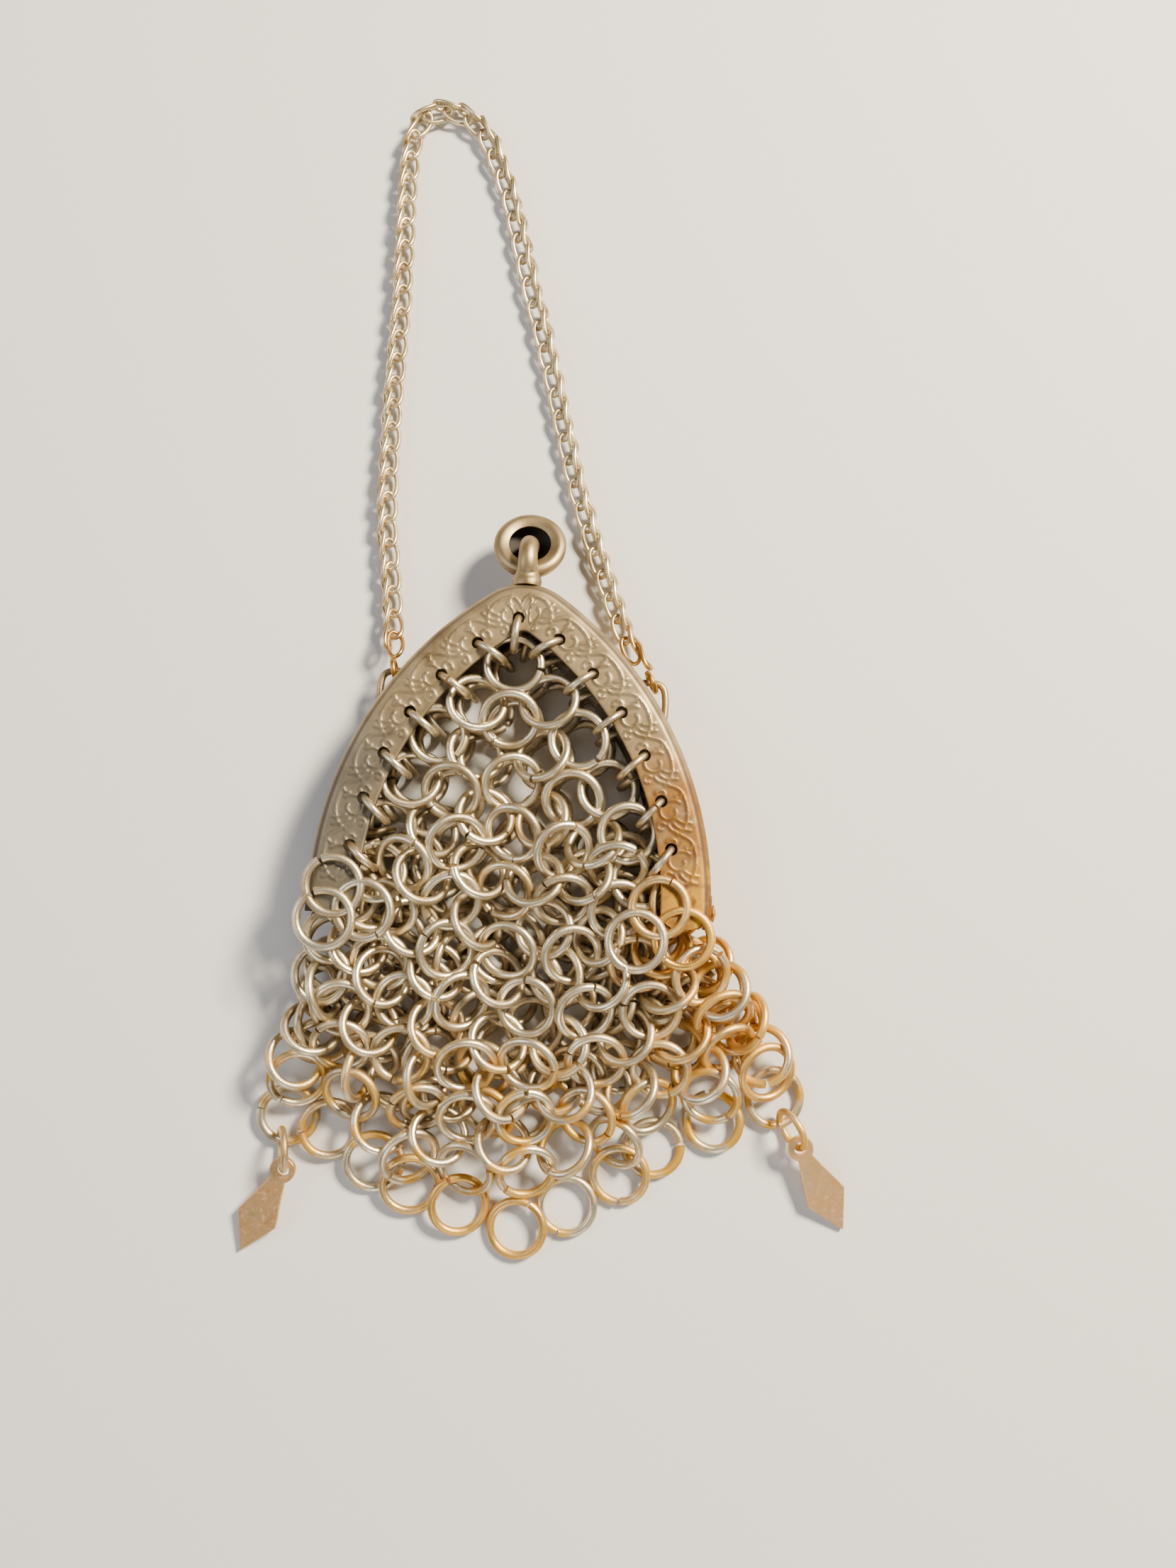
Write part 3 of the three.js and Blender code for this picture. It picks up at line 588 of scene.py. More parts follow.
# Drawn nickel silver wire: bright along its crown, yellowed where it has tarnished, with painted shade on
# the low rings of the back sheet
RING_WIRE = MetalFinish(
    name="drawn_nickel_silver_wire", bright="#F0E2C2", dull="#9C8864", cloud_mm=2.4,
    roughness=(0.33, 0.52), grit_mm=0.25, grit_height_mm=0.02, wear_and_shade_colour="#DBAA52",
    tarnish_and_shade=(
        # Painted shade: rings of the back sheet in the upper bag darken towards the floor
        TarnishAndShade("#6E5840", (Band(Axis.Z, 4, 1), Band(Axis.Y, -46, -36)), 3.0, (0.35, 0.6), 0.75, 0.8),
        TarnishAndShade("#CFA03A", (Band(Axis.Y, -35, -46),), 3.0, (0.49, 0.58), 0.85, 0.9),
        TarnishAndShade("#CB9A32", (Band(Axis.X, 11, 18), Band(Axis.Y, -22, -28)), 3.0, (0.42, 0.56), 0.85, 0.85),
    ))
# The same wire, finer, in the handle's links, with painted shade on their low sides
CHAIN_WIRE = MetalFinish(
    name="fine_nickel_silver_chain", bright="#F0E0B6", dull="#AC946A", cloud_mm=1.2,
    roughness=(0.3, 0.46), grit_mm=0.2, grit_height_mm=0.01, wear_and_shade_colour="#B0802E",
    # Painted shade: the links darken towards the floor
    tarnish_and_shade=(TarnishAndShade("#6E5A3C", (Band(Axis.Z, 1.0, -0.6),), 1.0, (0.45, 0.65), 0.6, 0.6),))
# Sheared copper alloy sheet under a dull brown skin
DROP_SHEET = MetalFinish(
    name="sheared_copper_alloy_dull", bright="#F2C88C", dull="#CB9C62", cloud_mm=1.6,
    roughness=(0.38, 0.58), grit_mm=0.15, grit_height_mm=0.02,
    tarnish_and_shade=(TarnishAndShade("#6F4C30", (Band(Axis.Y, -45, -56),), 0.7, (0.52, 0.64), 0.6, 0.5),
               TarnishAndShade("#D8B184", (Band(Axis.Y, -45, -56),), 0.5, (0.58, 0.68), 0.6, 0.8)))


def dress(piece: bpy.types.Object, material: bpy.types.Material, slot: str, *nodes: str) -> None:
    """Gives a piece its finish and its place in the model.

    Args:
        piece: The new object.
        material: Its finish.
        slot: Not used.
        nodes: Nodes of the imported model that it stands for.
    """
    piece.data.materials.clear()
    piece.data.materials.append(material)
    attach(piece, ROOT)
    if nodes:
        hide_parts(*nodes)
    LOG.info("%s: %d faces", piece.name, len(piece.data.polygons))


# The frame's halves

@dataclass(frozen=True)
class Scrollwork:
    """Stamped scrolls between the jump ring holes, as raised lines on the strip."""

    height: float = 0.13
    line: float = 0.23
    # A little over the holes' pitch, because the outer edge is longer than their line
    spacing: float = ARCH.jump_pitch * 1.13
    # One group of scrolls reaches this far along the strip from its middle
    reach: float = 3.1

    def curl(self, centre: tuple[float, float], radius: float, start: float, sweep: float,
             tighten: float) -> Array:
        """Draws a curl that winds inward.

        Args:
            centre: Place along the strip and inset.
            radius: Radius at its start.
            start: Angle of its start, in degrees.
            sweep: Degrees that it winds.
            tighten: Share of the radius that is lost on the way.

        Returns:
            Points along the curl.
        """
        share = np.linspace(0, 1, 22)
        angle = np.radians(start + sweep * share)
        size = radius * (1 - tighten * share)
        return np.stack([centre[0] + size * np.cos(angle), centre[1] + size * np.sin(angle)], 1)

    def motif(self, flip: float) -> list[Array]:
        """Draws one group: a scroll under a stem, a feathered leaf and two small curls.

        Args:
            flip: 1 or -1, the way along the strip that the leaf points.

        Returns:
            Lines as points of place along the strip and inset.
        """
        lines = [self.curl((0.1, 2.75), 1.2, 235, -330, 0.6),
                 self.stroke((-2.5, 2.3), (-1.7, 1.45), (-0.5, 1.2), (0.9, 1.35), (1.9, 1.9), (2.35, 2.6)),
                 self.stroke((1.0, 2.3), (1.35, 1.85), (1.5, 1.2)),
                 self.stroke((1.3, 2.7), (1.8, 2.3), (2.15, 1.4)),
                 self.stroke((1.35, 3.2), (1.8, 3.0), (2.2, 2.5)),
                 self.stroke((-1.1, 2.0), (-1.0, 1.7), (-1.35, 1.25)),
                 self.curl((-1.75, 3.15), 0.5, 120, 250, 0.45),
                 self.curl((1.35, 3.85), 0.42, -120, -250, 0.4)]
        return [line * [flip, 1] for line in lines]

    def stroke(self, *points: tuple[float, float]) -> Array:
        """Draws a bent line through a few points.

        Args:
            points: Places along the strip and insets.

        Returns:
            Points along the line.
        """
        return smooth_route(np.array([(*point, 0.0) for point in points]), 0.16)[:, :2]

    def relief(self, along: Array, inset: Array) -> Array:
        """Finds the raised height over the strip.

        Args:
            along: Length along the strip from the apex for each point.
            inset: Distance in from the outer edge for each point.

        Returns:
            Height for each point.
        """
        raised = np.zeros(len(along))
        for step in range(-ARCH.jump_each_side - 1, ARCH.jump_each_side + 1):
            centre = (step + 0.5) * self.spacing + ARCH.jump_offset
            flip = 1.0 if centre > 0 else -1.0
            near = np.nonzero(np.abs(along - centre) < self.reach)[0]
            for line in self.motif(flip):
                spots = line + [centre, 0]
                a, b = spots[:-1], spots[1:]
                point = np.stack([along[near], inset[near]], 1)[:, None]
                edge = (b - a)[None]
                share = np.clip(((point - a) * edge).sum(-1) / (edge ** 2).sum(-1), 0, 1)
                away = np.linalg.norm(point - a - share[..., None] * edge, axis=-1).min(1)
                rise = np.clip(1 - away / self.line, 0, 1)
                raised[near] = np.maximum(raised[near], rise * rise * (3 - 2 * rise))
        border = np.clip((inset - 0.9) / 0.25, 0, 1) * np.clip((ARCH.strip_width - inset) / 0.3, 0, 1)
        return self.height * raised * border


class Half(Enum):
    """The two halves of the frame, with the way that each one's strip faces."""

    FRONT = 1
    BACK = -1

    @property
    def sheet_middle(self) -> float:
        """Height of the middle of the half's sheet."""
        return ARCH.depth - ARCH.sheet / 2 if self is Half.FRONT else ARCH.sheet / 2


@dataclass
class FrameHalf:
    """A stamped half shell with pierced holes, hinge lugs and, on the back half, soldered bails."""

    half: Half
    station_spacing: float = 0.13
    strip_spacing: float = 0.11
    plain_spacing: float = 0.4
    corner: float = 1.5
    hole_width: float = 1.12
    edge_round: float = 0.95
    # Painted shade: its reach beside the scroll lines, its strength there and its strength on the inner
    # walls and the strip's cut edge
    recess_shade_reach: float = 0.6
    recess_shade_share: float = 0.85
    inner_wall_shade: float = 0.75
    lug: float = 3.0
    bail_wire: float = 0.65
    bail_height: float = 2.0
    sharp_degrees: float = 50.0
    # Bail wire beside each arm: out from the edge of the frame and down along it
    bail_route: tuple[tuple[float, float], ...] = (
        (-0.35, 8.3), (0.55, 7.95), (1.95, 8.15), (1.5, 9.4), (-0.35, 12.2))

    def section(self) -> Array:
        """Draws the half shell's section.

        Returns:
            Inset and depth from the flat face, round the section.
        """
        outer, inner = self.edge_round, self.edge_round - ARCH.sheet
        spacing = self.strip_spacing if self.half is Half.FRONT else self.plain_spacing
        strip = np.arange(ARCH.strip_width - 0.06, outer, -spacing)
        turn = np.radians(np.linspace(0, 90, 9))
        back = np.radians(np.linspace(90, 0, 5))
        points = [(ARCH.strip_width, 0.06), *((x, 0.0) for x in strip)]
        points += [(outer * (1 - math.sin(t)), outer * (1 - math.cos(t))) for t in turn]
        points += [(0.0, ARCH.half_depth - 0.08), (0.08, ARCH.half_depth), (ARCH.sheet, ARCH.half_depth)]
        points += [(outer - inner * math.sin(t), outer - inner * math.cos(t)) for t in back]
        points += [(ARCH.strip_width - 0.06, ARCH.sheet), (ARCH.strip_width, ARCH.sheet - 0.06)]
        return np.array(points)

    def shell(self) -> MeshMaker:
        """Runs the section round the arch and raises the scrolls on its face.

        Returns:
            The shell's mesh, in millimetres.
        """
        section = self.section()
        stations = ARCH.stations(self.station_spacing if self.half is Half.FRONT else self.plain_spacing)
        places = np.array([s[0] for s in stations])
        outs = np.array([s[1] for s in stations])
        along = np.array([s[2] for s in stations])
        from_end = np.clip(along.max() - np.abs(along), 0, self.corner)
        corner = (self.corner - np.sqrt(self.corner ** 2 - (self.corner - from_end) ** 2))[:, None] * 0.97
        inset = corner + section[None, :, 0] * (1 - 2 * corner / ARCH.strip_width)
        rings = np.zeros((len(stations), len(section), 3))
        rings[..., :2] = places[:, None] - outs[:, None] * inset[..., None]
        depth = np.broadcast_to(section[None, :, 1], rings.shape[:2]).copy()
        on_face = section[:, 1] < 0.02
        length, across = np.broadcast_arrays(along[:, None], section[None, on_face, 0])
        relief, recess_shade = np.zeros(length.shape), np.zeros(length.shape)
        if self.half is Half.FRONT:
            # Painted shade on the ground beside the scroll lines, kept off the raised lines
            scrolls, scroll_shade_zone = Scrollwork(), Scrollwork(height=1.0, line=self.recess_shade_reach)
            relief = scrolls.relief(length.ravel(), across.ravel()).reshape(length.shape)
            recess_shade = scroll_shade_zone.relief(length.ravel(), across.ravel()).reshape(length.shape)
            recess_shade *= 1 - np.clip(relief / (0.6 * scrolls.height), 0, 1)
        depth[:, on_face] -= relief
        rings[..., 2] = ARCH.depth - depth if self.half is Half.FRONT else depth
        # Painted shade on the inner walls and the strip's cut inner edge, and beside the scroll lines on the
        # face
        painted_shade = np.where(on_face | (section[:, 0] < 0.3), 0.0, self.inner_wall_shade)
        painted_shade = np.broadcast_to(painted_shade, rings.shape[:2]).copy()
        painted_shade[:, on_face] = self.recess_shade_share * recess_shade
        made = MeshMaker()
        if self.half is Half.BACK:
            made.grid(rings, closed=False, wear_and_shade=painted_shade)
        else:
            made.grid(rings[:, ::-1], closed=False, wear_and_shade=painted_shade[:, ::-1])
        return made

    def add_lugs(self, made: MeshMaker) -> None:
        """Adds the two hinge lugs as rounded plates.

        Args:
            made: The mesh that they are added to.
        """
        inside = 0.0 if self.half is Half.FRONT else ARCH.sheet + 0.3
        lug_y = ARCH.hinge_y - ARCH.arm_tail + self.lug / 2
        middle = ARCH.depth / 2
        angles = np.radians(np.linspace(0, 180, 15)) * self.half.value
        profile = [(lug_y + self.lug / 2 * math.cos(a), middle - self.lug / 2 * math.sin(a)) for a in angles]
        top = middle + self.half.value * ARCH.half_depth * 0.9
        profile += [(lug_y - self.lug / 2, top), (lug_y + self.lug / 2, top)]
        for side in (-1, 1):
            faces = []
            for inset in (inside, inside + ARCH.sheet):
                x = side * (ARCH.frame_width / 2 - inset)
                faces.append([(x, y, z) for y, z in profile])
            rings = np.array(faces)
            made.grid(rings if side * self.half.value > 0 else rings[:, ::-1], closed=False)

    def add_bails(self, made: MeshMaker) -> None:
        """Adds the bent bail wires that carry the handle.

        Args:
            made: The mesh that they are added to.
        """
        for side in (-1, 1):
            route = smooth_route(bail_points(side, self.bail_route, self.bail_height), 0.18)
            made.sweep(route, self.bail_wire / 2, 12)

    def build(self, material: bpy.types.Material) -> bpy.types.Object:
        """Builds and dresses the half.

        Args:
            material: The stamped sheet's finish.

        Returns:
            The finished half.
        """
        made = self.shell()
        name = "frame_front_shell" if self.half is Half.FRONT else "frame_back_shell"
        piece = made.build(name, self.sharp_degrees)
        cutters = MeshMaker()
        middle = self.half.sheet_middle
        for hole in jump_holes(self.half):
            line = np.array([[*hole, middle - 1.0], [*hole, middle + 1.0]])
            cutters.sweep(line, self.hole_width / 2, 20)
        cut_holes(piece, cutters)
        trim = MeshMaker()
        self.add_lugs(trim)
        if self.half is Half.BACK:
            self.add_bails(trim)
        join_into(piece, trim.build(name + "_trim"))
        piece.data.shade_smooth()
        piece.data.set_sharp_from_angle(angle=math.radians(self.sharp_degrees))
        dress(piece, material, "frame", "front_frame" if self.half is Half.FRONT else "back_frame")
        return piece


def join_into(target: bpy.types.Object, other: bpy.types.Object) -> None:
    """Joins another object's mesh into the target's.

    Args:
        target: The object that is kept.
        other: The object that is taken in and removed.
    """
    both = bmesh.new()
    both.from_mesh(target.data)
    both.from_mesh(other.data)
    both.to_mesh(target.data)
    both.free()
    bpy.data.objects.remove(other)


def bail_points(side: int, route: Sequence[tuple[float, float]], height: float) -> Array:
    """Places a bail's points beside one arm.

    Args:
        side: -1 for the left arm and 1 for the right one.
        route: Distances out from the edge and down from the apex.
        height: Height of the wire.

    Returns:
        The points in millimetres.
    """
    points = []
    for out, down in route:
        y = ARCH.apex_y - down
        edge = math.sqrt(ARCH.arch_radius ** 2 - (y - ARCH.hinge_y) ** 2) - ARCH.arm_centre
        points.append((side * (edge + out), y, height))
    return np.array(points)


# The jump rings and the ring mesh

def jump_holes(half: Half) -> list[Array]:
    """Lists the jump rings' holes in one half, from one arm's end to the other's.

    Args:
        half: The half of the frame.

    Returns:
        The middle of each hole, as a 2D point.
    """
    holes = []
    for step in range(-ARCH.jump_each_side, ARCH.jump_each_side + 1):
        along = half.value * (ARCH.jump_offset + step * ARCH.jump_pitch)
        holes.append(ARCH.point(along, ARCH.jump_inset)[0])
    return holes


@dataclass
class Rings:
    """Loose rings as circles in space, with two directions in each one's plane, in millimetres."""

    centre: Array
    across: Array
    along: Array
    radius: Array
    wire: Array
    fixed: Array

    @classmethod
    def joined(cls, groups: Sequence["Rings"]) -> "Rings":
        """Joins groups of rings.

        Args:
            groups: The groups, in order.

        Returns:
            One group.
        """
        names = ("centre", "across", "along", "radius", "wire", "fixed")
        return cls(*(np.concatenate([getattr(group, name) for group in groups]) for name in names))

    def samples(self, count: int) -> Array:
        """Places points round every ring.

        Args:
            count: Points on each ring.

        Returns:
            Points as an array of ring, point and coordinate.
        """
        angle = np.arange(count) * 2 * math.pi / count
        round_ring = (np.cos(angle)[None, :, None] * self.across[:, None]
                      + np.sin(angle)[None, :, None] * self.along[:, None])
        return self.centre[:, None] + self.radius[:, None, None] * round_ring


@dataclass
class RingMesh:
    """The bag: two sheets of rings in rows, each row laid into the ones beside it, as they fell."""

    rows: int = 21
    # Rings in each row, from the one at the apex to the scalloped bottom
    counts: tuple[int, ...] = (1, 2, 3, 4, 5, 6, 7, 6, 7, 6, 7, 8, 7, 8, 7, 8, 9, 8, 9, 8, 11)
    # Row, then y below the apex at its middle, and x and y of its left and right ends
    shape: tuple[tuple[float, ...], ...] = (
        (0, -7.56, -1.0, -7.56, -0.98, -7.56), (1, -10.6, -3.95, -11.0, 2.34, -10.9),
        (2, -12.64, -7.3, -14.1, 5.5, -14.3), (3, -15.3, -9.5, -18.0, 8.2, -18.2),
        (4, -18.2, -11.1, -22.3, 10.3, -22.3), (5, -20.8, -12.0, -26.4, 11.8, -26.6),
        (6, -23.4, -14.6, -28.6, 14.6, -28.4), (8, -28.0, -15.8, -32.0, 15.2, -31.2),
        (10, -32.8, -16.2, -35.6, 17.0, -34.2),
        (12, -37.7, -17.0, -38.8, 21.3, -37.2), (16, -47.6, -18.4, -45.2, 23.8, -42.4),
        (19, -55.0, -19.0, -50.0, 24.4, -47.0), (20, -57.5, -19.3, -48.8, 24.7, -45.2))
    # The bottom row's ring centres, x and y below the apex
    bottom: tuple[tuple[float, float], ...] = (
        (-19.3, -48.8), (-15.5, -49.6), (-11.2, -52.5), (-7.6, -54.1), (-3.4, -56.0), (1.9, -57.5),
        (6.3, -55.3), (10.8, -52.7), (14.0, -50.1), (19.2, -47.6), (24.7, -45.2))
    lean_degrees: float = 24.0
    odd_lean_share: float = 0.8
    # Rings of the rows between turn aside, the more the closer their row is bunched
    turn_degrees: float = 26.0
    full_pitch: float = 6.4
    held_rows: int = 5
    # Height of the edge that a ring lifts into its jump ring, in the front and the back sheet
    held_edges: tuple[float, float] = (4.95, 1.05)
    # Held rings and the bottom row lie calmer than the others, and even rows higher
    calm: float = 0.35
    even_lift: float = 0.35
    # Rows and the heights of their rings, before the rings settle
    front_heights: tuple[tuple[float, float], ...] = (
        (0, 4.2), (5, 4.2), (6, 4.9), (7, 4.6), (8, 3.9), (12, 3.2), (15, 2.6), (17, 1.6), (18, 1.0),
        (19, 0.6), (20, -0.3))
    back_heights: tuple[tuple[float, float], ...] = ((0, 1.6), (5, 1.6), (8, 0.8), (12, 0.6), (20, 0.5))
    # Rows and how far their rings stray
    roughness: tuple[tuple[float, float], ...] = ((0, 0.05), (4, 0.1), (8, 0.3), (14, 0.3), (20, 0.05))
    bottom_space: float = 2.2
    # Towards the bottom row the front sheet comes down: how near a ring dips, its height and its slope
    dip_space: float = 3.6
    dip_height: float = 0.0
    dip_slope: float = 0.28
    # The back sheet has slid up behind the front one, below this y
    bunch_from: float = -24.0
    bunch: float = 0.83
    # Sideways place of the back sheet, and how it narrows to the left and to the right
    back_shift: float = 0.4
    back_middle: float = 0.6
    back_narrowing: tuple[float, float] = (0.004, 0.012)
    # Rows of the loose middle, where a ring may stand on edge, and how often one does
    on_edge_rows: tuple[int, int] = (8, 16)
    on_edge_share: float = 0.2
    on_edge_turn: float = 2.6
    # Rings that lie over the lower ends of the arms: x and y below the apex
    over_arms: tuple[tuple[float, float], ...] = (
        (-15.0, -28.0), (-12.3, -30.2), (-15.8, -31.3), (13.4, -28.4), (15.4, -31.1), (11.2, -31.0))
    over_height: float = 6.3
    over_lean_degrees: float = 3.0
    over_from: float = 5.8
    # Where rings have yellowed: x, y, spread in square millimetres and share
    yellowed: tuple[tuple[float, float, float, float], ...] = (
        (17.0, -29.0, 30.0, 1.0), (22.0, -37.0, 50.0, 0.7))
    # Wires are pushed down from above this height
    ceiling: float = 6.5
    steps: int = 220
    sample_count: int = 20
    spare: float = 0.06
    # Steps between two searches for neighbours, and the share of a push that a ring follows
    search_every: int = 12
    follow: float = 0.28
    # Pull towards the place laid out, at first and at the end, and the share of steps before the end
    pulls: tuple[float, float] = (0.02, 0.005)
    first_share: float = 0.7
    # Centres of the rings that jump rings hold, known once a sheet is laid out
    held: Array = field(default_factory=lambda: np.zeros((0, 3)))

    def at(self, row: float, pairs: Sequence[Sequence[float]], column: int = 1) -> float:
        """Reads a short table at a row.

        Args:
            row: The row.
            pairs: The table, with the row in its first column.
            column: The column that is read.

        Returns:
            The value there.
        """
        table = np.array(pairs)
        return float(np.interp(row, table[:, 0], table[:, column]))

    def sheet(self, half: Half, rng: np.random.Generator) -> Rings:
        """Lays out one sheet, before its rings settle.

        Args:
            half: The half of the frame that it hangs from.
            rng: The source of the small irregularities.

        Returns:
            The sheet's rings.
        """
        front = half is Half.FRONT
        spots, leans, rows, held = [], [], [], []
        for row in range(self.rows if front else self.rows - 1):
            middle_y, left, left_y, right, right_y = (self.at(row, self.shape, c) for c in range(1, 6))
            height = self.at(row, self.front_heights if front else self.back_heights)
            last = row == self.rows - 1
            count = self.counts[row]
            # A row with one ring less than the one above starts half a pitch in
            inset = row > 0 and count < self.counts[row - 1]
            pitch = (right - left) / max(count - (0 if inset else 1), 1) if row else self.full_pitch
            bunched = math.degrees(math.acos(min(1.0, pitch / self.full_pitch)))
            for number in range(count):
                share = (number - (count - 1) / 2) * pitch / max((right - left) / 2, pitch / 2)
                is_held = row <= self.held_rows and number in (0, count - 1)
                x = (left + right) / 2 + (number - (count - 1) / 2) * pitch
                y = middle_y + ((left_y if share < 0 else right_y) - middle_y) * share * share
                if last:
                    x, y = self.bottom[number]
                above = y - np.interp(x, *np.array(self.bottom).T)
                if not last and row > self.held_rows and above < self.bottom_space:
                    continue
                if not front and row <= self.held_rows:
                    x += self.back_shift
                elif not front:
                    y = self.bunch_from + (y - self.bunch_from) * self.bunch
                    narrowing = self.back_narrowing[1 if x > 0 else 0]
                    x = self.back_middle + x * (1 - narrowing * (self.bunch_from - y))
                lean = [self.lean_degrees, 0.5 * bunched * (1 if number % 2 else -1)]
                if row % 2:
                    turn = self.turn_degrees * math.copysign(1, share + 0.01)
                    lean = [-self.lean_degrees * self.odd_lean_share, turn]
                    loose = self.on_edge_rows[0] <= row <= self.on_edge_rows[1]
                    if loose and rng.random() < self.on_edge_share:
                        lean[1] *= self.on_edge_turn
                if front and above < self.dip_space:
                    # The rings next to the bottom row dip into it
                    lean[0] = self.lean_degrees
                lean = np.radians(lean) * (self.calm if last or is_held else 1.0)
                dipped = min(height, self.dip_height + self.dip_slope * above)
                z = dipped if front and not last else height
                if is_held:
                    out = unit(np.array([share, 0.7 if row else 1.0]))
                    slope = math.tan(lean[1]) * out[0] + math.tan(lean[0]) * out[1]
                    edge_z = self.held_edges[0 if front else 1]
                    z = edge_z - (ARCH.ring_radius - 0.1) * math.sin(math.atan(slope))
                elif row % 2 == 0 and not last:
                    z += self.even_lift
                spots.append((x, y + ARCH.apex_y, z))
                leans.append(lean)
                rows.append(row)
                held.append(is_held)
        if front:
            for x, y in self.over_arms:
                spots.append((x, y + ARCH.apex_y, self.over_height))
                leans.append(np.radians([0.0, math.copysign(self.over_lean_degrees, x)]))
                rows.append(self.held_rows + 2)
                held.append(False)
        centre, lean, row_of = np.array(spots), np.array(leans), np.array(rows)
        rough = np.interp(row_of, *np.array(self.roughness).T)[:, None] * ~np.array(held)[:, None]
        centre += rng.normal(0, 1, centre.shape) * rough * [1, 1, 0.4]
        lean += rng.normal(0, 1, lean.shape) * rough * 0.35
        normal = unit(np.stack([-np.tan(lean[:, 1]), -np.tan(lean[:, 0]), np.ones(len(lean))], 1))
        across = unit(np.cross([0.0, 1.0, 0.0], normal))
        count = len(centre)
        self.held = centre[np.array(held)]
        return Rings(centre, across, np.cross(normal, across), np.full(count, ARCH.ring_radius),
                     np.full(count, ARCH.ring_wire), np.zeros(count, bool))

    def jump_rings(self, half: Half) -> Rings:
        """Places the jump rings of one half, each turned towards the mesh ring that it holds.

        Args:
            half: The half of the frame.

        Returns:
            The jump rings, which stay where they are.
        """
        centres, outs = [], []
        for hole in jump_holes(half):
            nearest = self.held[np.argmin(np.linalg.norm(self.held[:, :2] - hole, axis=1))]
            out = unit(hole - nearest[:2])
            height = half.sheet_middle - half.value * ARCH.jump_lift
            centres.append([*(hole - out * ARCH.jump_reach), height])
            outs.append([-out[0], -out[1], 0.0])
        count = len(centres)
        return Rings(np.array(centres), np.array(outs), np.tile([0.0, 0.0, 1.0], (count, 1)),
                     np.full(count, ARCH.jump_radius), np.full(count, ARCH.jump_wire),
                     np.ones(count, bool))

    def settle(self, rings: Rings) -> None:
        """Moves and turns the rings step by step, as their wires push each other apart.

        The steps end before every wire is clear, so crowded rings still run into each other a little.

        Args:
            rings: All the rings, which are changed in place.
        """
        free = ~rings.fixed[:, None]
        over = (rings.centre[:, 2] > self.over_from)[:, None]
        target = rings.centre.copy()
        first_normal = np.cross(rings.across, rings.along)
        first = second = np.zeros(0, int)
        for step in range(self.steps):
            if step % self.search_every == 0:
                apart = np.linalg.norm(rings.centre[:, None] - rings.centre[None], axis=2)
                near = apart < rings.radius[:, None] + rings.radius[None] + 1.0
                near &= free | free.T
                first, second = np.nonzero(np.triu(near, 1))
            force = self.contact(rings, first, second)
            points = rings.samples(self.sample_count)
            lowest = ARCH.floor + rings.wire[:, None] / 2 + 0.02
            force[..., 2] += np.clip(lowest - points[..., 2], 0, None) * 1.5
            force[..., 2] += self.off_the_strips(points, over)
            force[..., 2] -= np.clip(points[..., 2] - self.ceiling, 0, None) * 1.5
            pull = self.pulls[0 if step < self.steps * self.first_share else 1]
            shift = self.follow * force.sum(1) + pull * (target - rings.centre)
            turn = self.follow * np.cross(points - rings.centre[:, None], force).sum(1)
            turn /= rings.radius[:, None] ** 2
            turn += pull * 0.7 * np.cross(np.cross(rings.across, rings.along), first_normal)
            shift *= np.minimum(1, 0.25 / np.maximum(np.linalg.norm(shift, axis=1, keepdims=True), 1e-9))
            turn *= np.minimum(1, 0.1 / np.maximum(np.linalg.norm(turn, axis=1, keepdims=True), 1e-9))
            rings.centre += shift * free
            rings.across = unit(rings.across + np.cross(turn, rings.across) * free)
            rings.along += np.cross(turn, rings.along) * free
            rings.along -= rings.across * (rings.across * rings.along).sum(1, keepdims=True)
            rings.along = unit(rings.along)

    def off_the_strips(self, points: Array, over: Array) -> Array:
        """Finds how the frame's strips push rings up or down.

        Args:
            points: Sample points of all the rings.
            over: Whether each ring lies over the front strip.

        Returns:
            An upright push for each sample point.
        """
        room = ARCH.ring_wire / 2 + 0.03
        inset = ARCH.insets(points)
        inside = (inset > -room) & (inset < ARCH.strip_width + room)
        z = points[..., 2]
        under_front = ARCH.depth - ARCH.sheet - room
        below = np.clip(ARCH.sheet + room - z, 0, None) - np.clip(z - under_front, 0, None)
        above = np.clip(ARCH.depth + room - z, 0, None)
        return inside * np.where(over, above, below)

    def contact(self, rings: Rings, first: Array, second: Array) -> Array:
        """Finds how the wires of neighbouring rings push each other apart.

        Args:
            rings: All the rings.
            first: The first ring of each pair.
            second: The second ring of each pair.

        Returns:
            A push for each sample point of each ring.
        """
        count = self.sample_count
        points = rings.samples(count)
        single = points.astype(np.float32)
        squares = (single ** 2).sum(-1)
        products = np.matmul(single[first], single[second].transpose(0, 2, 1))
        apart = squares[first][:, :, None] + squares[second][:, None, :] - 2 * products
        need = (rings.wire[first] + rings.wire[second]) / 2 + self.spare
        pair, mine, yours = np.nonzero(apart < (need ** 2)[:, None, None])
        gap = points[first[pair], mine] - points[second[pair], yours]
        distance = np.linalg.norm(gap, axis=1) + 1e-9
        push = gap / distance[:, None] * np.clip(need[pair] - distance, 0, None)[:, None]
        force = np.zeros((len(points) * count, 3))
        np.add.at(force, first[pair] * count + mine, push)
        np.add.at(force, second[pair] * count + yours, -push)
        return force.reshape(len(points), count, 3)

